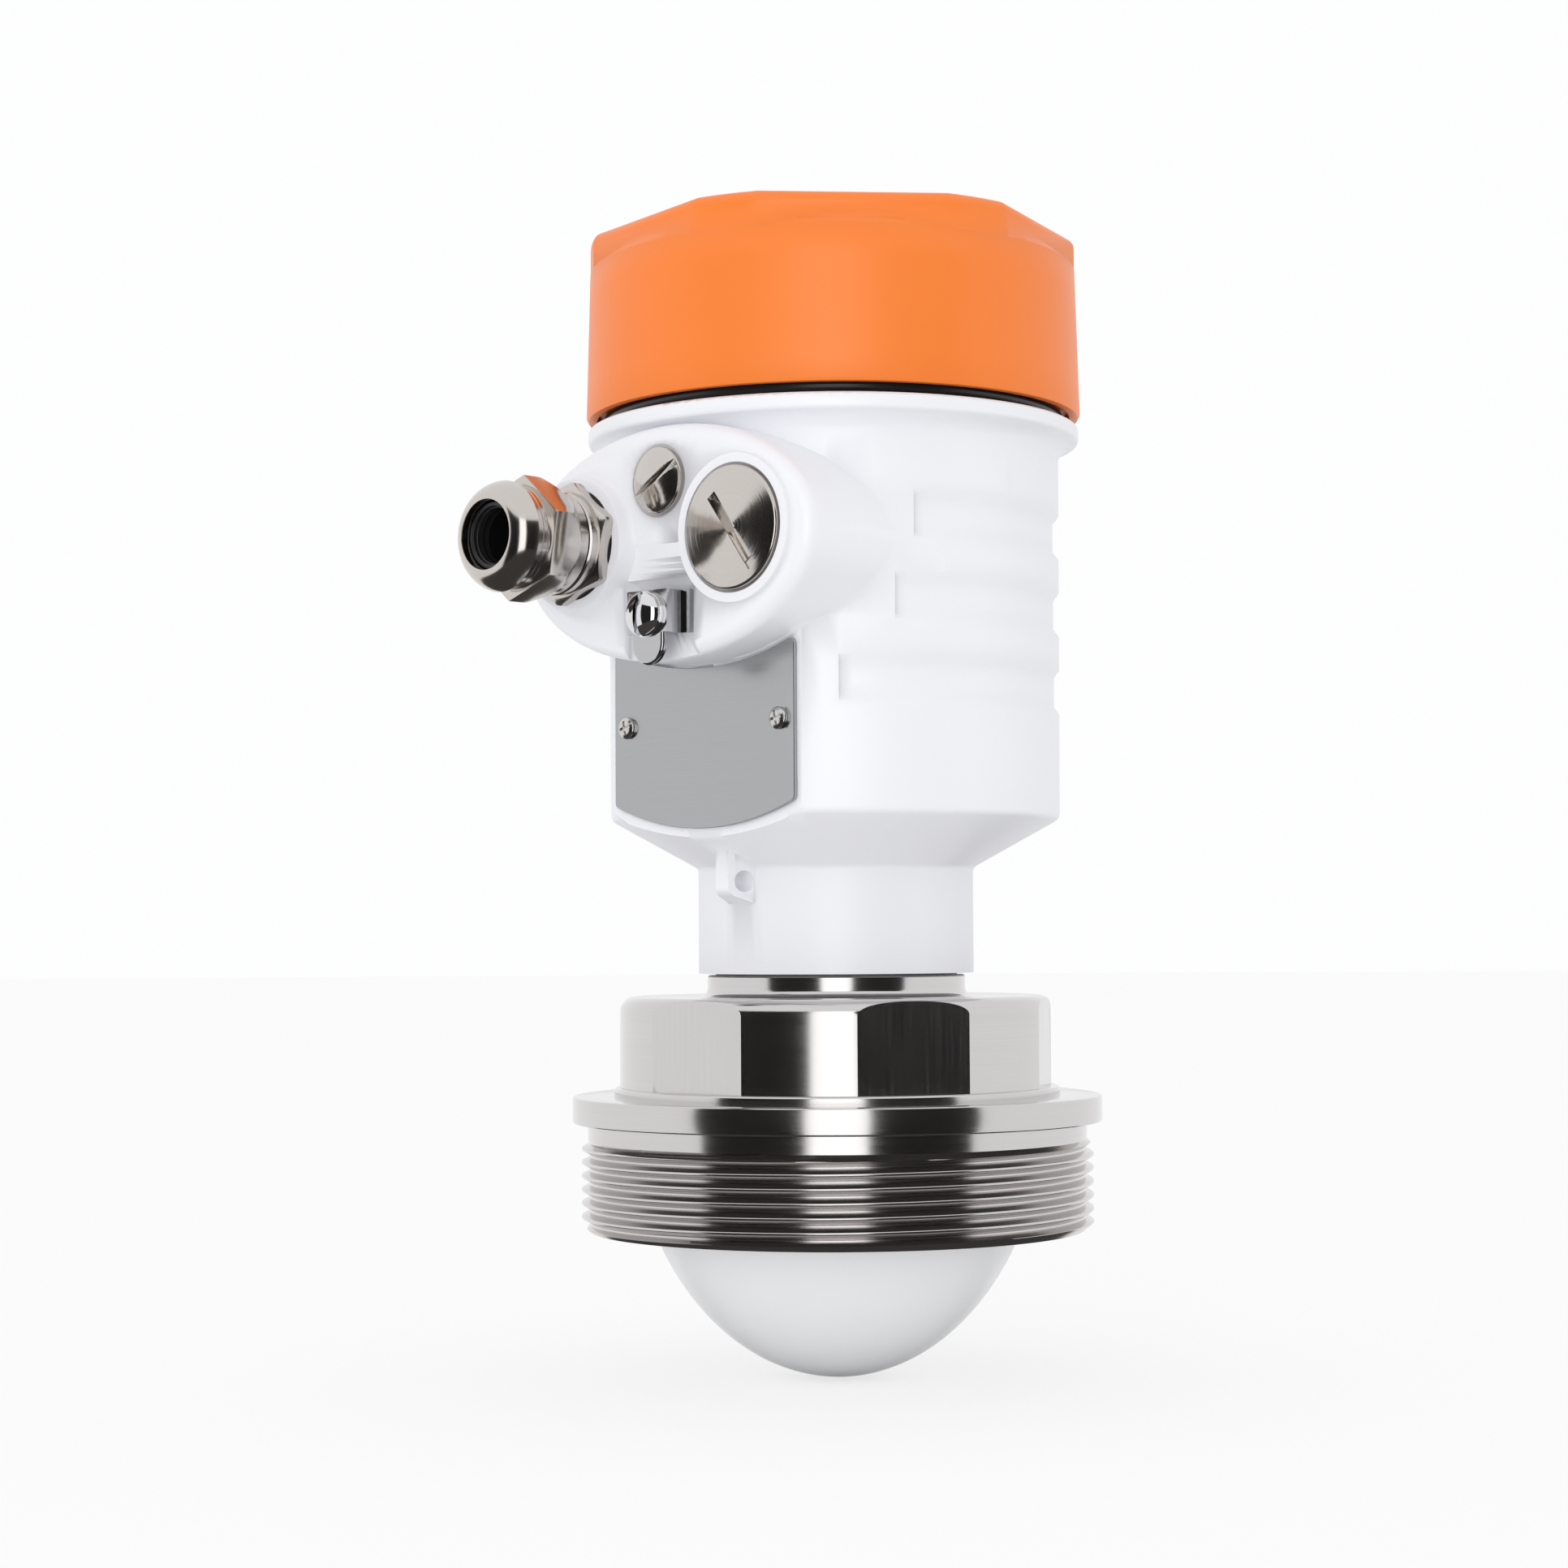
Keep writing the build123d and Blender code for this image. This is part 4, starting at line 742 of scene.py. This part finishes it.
def thread_envelope(height):
    """Radius of the turned blank under the collar."""
    if height > relief_end - 0.001:
        return relief_radius
    if height > thread_start:
        return relief_radius + (relief_end - height)
    if height < thread_end + thread_bevel:
        return pipe_crest - (thread_end + thread_bevel - height)
    return pipe_crest


thread = helix(tooth(pipe_crest, pipe_root, pipe_pitch, pipe_rounding), pipe_pitch, turns_with_spare,
               thread_end - 2 * pipe_pitch + helix_phase, spin_steps)
trim(thread, relief_end, True)
trim(thread, thread_end, False)
for mark in (thread_start, thread_end + thread_bevel):
    bmesh.ops.bisect_plane(thread, geom=everything(thread),
                           plane_co=(0, 0, mark * MM), plane_no=(0, 0, 1))
limit_radius(thread, thread_envelope)
top_ring = ring_at(thread, relief_end)
bottom_ring = ring_at(thread, thread_end)
for edge in top_ring:
    for vertex in edge.verts:
        set_radius(vertex, relief_radius)
extend_ring(thread, top_ring, relief_radius, 0.0)
inner = extend_ring(thread, bottom_ring, mouth_radius + mouth_edge, thread_end)
inner = extend_ring(thread, inner, mouth_radius, thread_end + mouth_edge)
extend_ring(thread, inner, mouth_radius, thread_end + mouth_depth)
bmesh.ops.recalc_face_normals(thread, faces=thread.faces)
for face in thread.faces:
    if face.calc_center_median().z < relief_end * MM:
        face.material_index = 2
print("thread faces", len(thread.faces))

# %% [markdown]
# The rest of the fitting is turned from the same bar: collar, base ring, hexagon and step. The hexagon
# starts as a round crowned blank, and six planes slice the flats, which gives their arched tops for free.
# A corner is the centre of a rounding, and an edge is its radius.

# %% Fitting body
edge_bevel = 0.12
fitting_inner = 30
collar_corner = 45.03
collar_edge = 0.4
collar_top = 4.5
ring_corner = 37.7
ring_edge = 0.6
ring_top = 6.0
blank_low = 5.0
crown_corner = 34.7
crown_edge = 2.6
hex_top = 21.5
hex_apothem = 36.0
hex_clock = 1.8
step_radius = 22.2
step_foot = 1.4
step_top = 25.1
step_chamfer = 0.3
stem_radius = 19.0
stem_top = 54.0

collar = turn_shape([
    (fitting_inner, 0),
    (collar_corner, 0),
    *bow(collar_corner, collar_edge, collar_edge, -90, 0, 3),
    *bow(collar_corner, collar_top - collar_edge, collar_edge, 0, 90, 3),
    (ring_corner + ring_edge, collar_top),
    (ring_corner + ring_edge, collar_top + 0.8),
    *bow(ring_corner, ring_top - ring_edge, ring_edge, 0, 90, 4),
    (fitting_inner, ring_top),
], closed=True)
hex_blank = turn_shape([
    (0, blank_low),
    (crown_corner + crown_edge, blank_low),
    (crown_corner + crown_edge, hex_top - crown_edge),
    *bow(crown_corner, hex_top - crown_edge, crown_edge, 0, 90, 8),
    (step_radius + step_foot, hex_top),
    *bow(step_radius + step_foot, hex_top + step_foot, step_foot, -90, -180, 5),
    (step_radius, step_top - step_chamfer),
    (step_radius - step_chamfer, step_top),
    (stem_radius, step_top),
    (stem_radius, stem_top),
    (0, stem_top),
], 192)
mill_flats(hex_blank, hex_apothem, 6, hex_clock - 90, flat_slot=1)
soften(hex_blank, edge_bevel, 2, 8, lambda edge: any(face.material_index == 1 for face in edge.link_faces))
fitting = join_shapes(collar, hex_blank, thread)
make_piece("threaded_fitting", fitting, "process", [turned_steel, milled_steel, thread_steel],
           ["process_fitting"], 20)

# %% [markdown]
# The lens is one long bowl of white plastic, an ellipse turned round its long axis. A fine spin keeps its
# outline smooth where it stands against the pale floor.

# %% Lens
lens_radial = 36.0
lens_reach = 48.2
lens_centre = 4.66
bowl_sweep = 62.5
bowl_steps = 40
shank_radius = 31.9
shank_low = -17.0
shank_top = -4.74
hollow_radius = 27.0
hollow_low = -12.0
hollow_tip = -36.5

lens_profile = []
for step in range(bowl_steps + 1):
    angle = math.radians(-90 + bowl_sweep * step / bowl_steps)
    lens_profile.append((lens_radial * math.cos(angle), lens_centre + lens_reach * math.sin(angle)))
lens_profile += [(shank_radius, shank_low), (shank_radius, shank_top), (hollow_radius, shank_top),
                 (hollow_radius, hollow_low), (0, hollow_tip)]
lens_shape = turn_shape([(max(0, radius), height) for radius, height in lens_profile], 160)
make_piece("lens_dome", lens_shape, "process", [lens_white], ["lens"])

# %% [markdown]
# The castings keep their CAD shape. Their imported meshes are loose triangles, so a merged copy is shaded
# smooth with its true corners kept sharp, and the copy stands for the node.

# %% Castings


def smooth_copy(name, node, body, material, sharp=24, edge=0.0):
    """A merged, smoothly shaded copy of a CAD node, its sharp edges bevelled if edge gives a width."""
    shape = bmesh.new()
    shape.from_mesh(nodes[node].data)
    bmesh.ops.remove_doubles(shape, verts=shape.verts, dist=1e-6)
    bmesh.ops.recalc_face_normals(shape, faces=shape.faces)
    for face in shape.faces:
        face.material_index = 0
    if edge:
        bmesh.ops.dissolve_limit(shape, angle_limit=math.radians(1.5), verts=shape.verts,
                                 edges=shape.edges)
        soften(shape, edge, 2, 35)
    return make_piece(name, shape, body, [material], [node], sharp)


smooth_copy("housing_shell", "housing_body", "housing", white_coat)
smooth_copy("screw_lid", "lid", "lid", orange_coat)

# %% [markdown]
# The cable gland is turned too, but its axis points forwards. Each piece is turned round Z, where heights
# stand for distances from the housing's axis, and is laid over at the end. Both hexagons are separate rings
# that six planes cut, so the planes never touch the dome, which is a little wider than the flats.

# %% Cable gland, fixed half
flat_apothem = 9.0
flat_clock = 50.0
entry_radius = 8.0
entry_end = 37.4
gland_bore = 5.7
gland_seat = 46.2
gland_hex_face = 48.6
gland_hex_corner = 10.25
gland_collar = 8.7
gland_collar_face = 50.3
gland_thread = 7.6
gland_end = 59.1
cage_bore = 6.9
cage_floor = 50.1

gland_hex = turn_shape([
    (gland_bore, gland_seat),
    (gland_hex_corner - 0.2, gland_seat),
    (gland_hex_corner, gland_seat + 0.2),
    (gland_hex_corner, gland_hex_face - 0.72),
    (flat_apothem, gland_hex_face),
    (gland_bore, gland_hex_face),
], 128, closed=True)
mill_flats(gland_hex, flat_apothem, 6, flat_clock)
soften(gland_hex, edge_bevel, 2, 28)
gland_tube = turn_shape([
    (gland_bore, entry_end),
    (entry_radius, entry_end),
    (entry_radius, gland_seat),
    (gland_collar, gland_seat),
    (gland_collar, gland_collar_face - 0.25),
    (gland_collar - 0.25, gland_collar_face),
    (gland_thread, gland_collar_face),
    (gland_thread, gland_end),
    (cage_bore, gland_end),
    (cage_bore, cage_floor),
    (gland_bore, cage_floor),
], 128, closed=True)
gland_base = join_shapes(gland_tube, gland_hex)
face_front(gland_base, gland_x, entry_z)
make_piece("gland_base", gland_base, "housing", [gland_nickel], ["gland_body"], 26)

# %% [markdown]
# The dome nut starts with a plain skirt, then come its hexagon, a neck with two fine lines cut round it,
# and the dome. The black rubber inside has a rolled lip and two small ridges that grip the cable.

# %% Dome nut and its rubber
nut_bore = 7.7
nut_start = 50.7
nut_skirt = 8.75
nut_hex_start = 52.8
nut_bevel_end = 55.2
nut_hex_end = 58.9
nut_hex_corner = 10.39
nut_neck = 8.6
neck_lines = (59.8, 60.8)
line_depth = 0.18
dome_start = 62.2
dome_corner = 5.3
dome_base = 60.8
dome_width = 4.0
dome_length = 5.0
dome_opening = 5.7

nut_ring = turn_shape([
    (nut_bore, nut_hex_start),
    (flat_apothem, nut_hex_start),
    (nut_hex_corner, nut_bevel_end),
    (nut_hex_corner, nut_hex_end),
    (nut_bore, nut_hex_end),
], 128, closed=True)
mill_flats(nut_ring, flat_apothem, 6, flat_clock)
soften(nut_ring, edge_bevel, 2, 28)


def notch(radius, height, depth, half_width):
    """Three points of a fine line cut round a turned piece, upwards, or downwards in its bore."""
    return [(radius, height - half_width), (radius - depth, height), (radius, height + half_width)]


dome = [(dome_corner + dome_width * math.cos(math.radians(angle)),
         dome_base + dome_length * math.sin(math.radians(angle))) for angle in range(17, 85, 3)]
nut_tube = turn_shape([
    (nut_bore, nut_start),
    (nut_skirt - 0.2, nut_start),
    (nut_skirt, nut_start + 0.2),
    (nut_skirt, nut_hex_start + 0.1),
    (nut_neck, nut_hex_start + 0.3),
    *notch(nut_neck, neck_lines[0], line_depth, 0.1),
    *notch(nut_neck, neck_lines[1], line_depth, 0.1),
    (nut_neck, dome_start),
    (nut_neck + 0.35, dome_start),
    *dome,
    (dome_opening, 65.55),
    (dome_opening, dome_base + 0.1),
    (nut_bore, dome_base),
], 160, closed=True)
dome_nut = join_shapes(nut_tube, nut_ring)
face_front(dome_nut, gland_x, entry_z)
make_piece("dome_nut", dome_nut, "gland_nut", [gland_nickel], ["gland_nut"], 26)

cable_radius = 4.5
rubber_hole = 4.62
rubber_radius = 6.1
rubber_start = 50.45
lip_height = 63.9
lip_edge = 0.2
ridge_heights = (62.3, 60.9)
rubber = turn_shape([
    (cable_radius, rubber_start),
    (rubber_radius, rubber_start),
    (rubber_radius, 60.7),
    (5.52, 60.75),
    *bow(5.32, lip_height, lip_edge, 0, 90, 4),
    *bow(4.95, lip_height, lip_edge, 90, 180, 3),
    *bow(4.7, 63.2, lip_edge, 60, 180, 4),
    *notch(rubber_hole, ridge_heights[0], rubber_hole - cable_radius, -0.3),
    *notch(rubber_hole, ridge_heights[1], rubber_hole - cable_radius, -0.3),
    (rubber_hole, 52.0),
], 96, closed=True)
face_front(rubber, gland_x, entry_z)
make_piece("rubber_seal", rubber, "gland_insert", [black_rubber], ["gland_rubber"], 40)

# %% [markdown]
# The blanking plug is a turned disc. Five planes mark the slot and its short shallow end on the face, and
# inset_individual sinks both with slightly sloping walls.

# %% Blanking plug
plug_shank_end = 36.0
plug_seat = 43.0
plug_radius = 10.1
plug_edge = 0.5
plug_face = 44.6
slot_half_width = 0.95
slot_half_length = 6.8
slot_tail = 8.3
slot_turn = math.radians(-53.6)
slot_along = Vector((math.cos(slot_turn), math.sin(slot_turn), 0))
slot_across = Vector((-slot_along.y, slot_along.x, 0))

plug_disc = turn_shape([
    (0, plug_shank_end),
    (entry_radius, plug_shank_end),
    (entry_radius, plug_seat),
    (plug_radius, plug_seat),
    *bow(plug_radius - plug_edge, plug_face - plug_edge, plug_edge, 0, 90, 4),
    (0, plug_face),
], 160)


def front_faces():
    """The faces that lie in the plug's front plane."""
    return [face for face in plug_disc.faces if face.calc_center_median().z > (plug_face - 0.01) * MM]


bmesh.ops.dissolve_faces(plug_disc, faces=front_faces())
for line, distance in ((slot_across, slot_half_width), (slot_across, -slot_half_width),
                       (slot_along, slot_half_length), (slot_along, -slot_half_length),
                       (slot_along, slot_tail)):
    geometry = {item for face in front_faces() for item in (face, *face.edges, *face.verts)}
    bmesh.ops.bisect_plane(plug_disc, geom=list(geometry), plane_co=line * distance * MM, plane_no=line)


def slot_face(nearest_along):
    """The marked face on the slot's line whose middle lies nearest to this distance along it."""
    target = slot_along.xy * nearest_along * MM
    return min(front_faces(), key=lambda face: (face.calc_center_median().xy - target).length)


for nearest_along, sink in ((0.0, 1.0), (7.5, 0.25)):
    bmesh.ops.inset_individual(plug_disc, faces=[slot_face(nearest_along)], thickness=0.07 * MM,
                               depth=-sink * MM)
face_front(plug_disc, -gland_x, entry_z)
make_piece("slotted_plug", plug_disc, "housing", [plug_nickel], ["blanking_plug"], 25)

# %% [markdown]
# The vent is a domed button, and its slot is the gap between two half domes that stand on a thin disc.

# %% Vent


def half_dome(points, side_angle, gap):
    """One half of a turned dome, cut off parallel to a slot of this width, in mm."""
    shape = turn_shape(points, 128)
    side = Vector((math.cos(side_angle), math.sin(side_angle), 0))
    split_off(shape, side, gap / 2)
    soften(shape, 0.07, 2, 50, lambda edge: edge.calc_length() < 40 * MM)
    return shape


vent_slot_turn = math.radians(30.6)
vent_slot_width = 1.25
vent_shank_end = 36.7
vent_shank = 4.0
vent_seat = 42.7
vent_radius = 5.55
vent_edge = 0.25
vent_face = 43.8
button_radius = 5.25
button_rise = 0.8
button_spread = 64

rim_sine = math.sin(math.radians(button_spread))
rim_cosine = math.cos(math.radians(button_spread))
button = [(0, vent_face), (button_radius, vent_face)]
for angle in range(button_spread - 4, -1, -4):
    rise = (math.cos(math.radians(angle)) - rim_cosine) / (1 - rim_cosine)
    button.append((button_radius * math.sin(math.radians(angle)) / rim_sine, vent_face + button_rise * rise))
vent_disc = turn_shape([
    (0, vent_shank_end),
    (vent_shank, vent_shank_end),
    (vent_shank, vent_seat),
    (vent_radius, vent_seat),
    *bow(vent_radius - vent_edge, vent_face - vent_edge, vent_edge, 0, 90, 4),
    (0, vent_face),
], 128)
vent_head = join_shapes(vent_disc, half_dome(button, vent_slot_turn + math.pi / 2, vent_slot_width),
                        half_dome(button, vent_slot_turn - math.pi / 2, vent_slot_width))
face_front(vent_head, 0, vent_z)
make_piece("vent_button", vent_head, "housing", [vent_nickel], ["vent_plug"], 32)

# %% [markdown]
# The nameplate keeps its CAD outline, with a fine bevel all round. Its screws have a cross recess: a ring
# of the head stands round four little quarters.

# %% Nameplate and its screws
smooth_copy("name_plate", "nameplate", "housing", plate_steel, 24, 0.16)
screw_seat = 33.14
screw_end = 30.6
screw_shank = 1.2
screw_head = 1.85
screw_side = 0.35
screw_edge = 0.4
screw_spacing = 34.6
screw_z = 67.0
cross_turn = 12
cross_half_width = 0.24

cross_screws = []
for screw_x in (-screw_spacing / 2, screw_spacing / 2):
    stem = turn_shape([
        (0, screw_end),
        (screw_shank, screw_end),
        (screw_shank, screw_seat),
        (screw_head, screw_seat),
        (screw_head, screw_seat + screw_side),
        *bow(screw_head - screw_edge, screw_seat + screw_side, screw_edge, 0, 60, 4),
        (screw_shank, screw_seat + 0.95),
        (screw_shank - 0.05, screw_seat + 0.5),
        (0, screw_seat + 0.4),
    ], 64)
    face_front(stem, screw_x, screw_z)
    cross_screws.append(stem)
    for quarter in range(4):
        corner = turn_shape([
            (0, screw_seat + 0.3),
            (screw_shank + 0.02, screw_seat + 0.3),
            (screw_shank + 0.02, screw_seat + 0.93),
            (0.8, screw_seat + 1.03),
            (0, screw_seat + 1.08),
        ], 64)
        for turn in (0, 90):
            angle = math.radians(quarter * 90 + turn + cross_turn)
            split_off(corner, Vector((math.cos(angle), math.sin(angle), 0)), cross_half_width)
        face_front(corner, screw_x, screw_z)
        cross_screws.append(corner)
make_piece("cross_screws", join_shapes(*cross_screws), "housing", [plain_steel], ["nameplate_screws"],
           30)

# %% [markdown]
# The earth terminal keeps its CAD plates, with softened edges. Its screw gets a polished round head with a
# slot, made from two half domes as the vent is.

# %% Earth terminal
plate_bevel = 0.22
smooth_copy("clamp_saddle", "earth_saddle", "earth_plates", clamp_chrome, 24, plate_bevel)
smooth_copy("clamp_tongue", "earth_tongue", "earth_plates", clamp_chrome, 24, plate_bevel)
earth_x = 0.4
earth_z = 84.11
earth_shank = 2.0
earth_shank_end = 36.6
head_seat = 46.42
head_washer = 3.8
head_washer_top = head_seat + 0.5
head_radius = 3.7
head_base = head_seat + 0.7
head_rise = 2.1
head_slot_turn = -6
head_half_slot = 0.45

head_arc = [(head_radius * math.cos(math.radians(angle)),
             head_base + head_rise * math.sin(math.radians(angle))) for angle in range(0, 91, 6)]
earth_stem = turn_shape([
    (0, earth_shank_end),
    (earth_shank - 0.4, earth_shank_end),
    (earth_shank, earth_shank_end + 0.4),
    (earth_shank, head_seat),
    (head_washer, head_seat),
    (head_washer, head_washer_top),
    (0, head_base),
], 64)
head_halves = [turn_shape([(0, head_washer_top), (head_radius, head_washer_top), *head_arc], 96)
               for side in range(2)]
for side, half in enumerate(head_halves):
    angle = math.radians(180 * side + head_slot_turn)
    split_off(half, Vector((math.cos(angle), math.sin(angle), 0)), head_half_slot)
clamp_screw = join_shapes(earth_stem, *head_halves)
face_front(clamp_screw, earth_x, earth_z)
make_piece("clamp_screw", clamp_screw, "earth_screw", [clamp_polish], ["earth_screw"], 32)

# %% [markdown]
# What lies inside shows only when the lid is off or the sensor is cut open. These nodes keep their CAD
# meshes and get a finish from the same set.

# %% Remaining CAD nodes
cad_finishes = {
    "stem_seals": black_rubber, "slide_washer": grey_plastic, "retaining_clip": plain_steel,
    "lens_seal": black_rubber, "lens_retainer": plain_steel, "antenna_horn": gland_nickel,
    "radar_board": green_board, "shield_can": plain_steel, "entry_seals": black_rubber,
    "vent_membrane": lens_white, "electronics_insert": black_plastic, "terminal_block": grey_plastic,
    "terminal_screws": plain_steel, "lid_seal": black_rubber, "gland_cage": black_plastic,
}
for node, material in cad_finishes.items():
    nodes[node].data.materials.clear()
    nodes[node].data.materials.append(material)
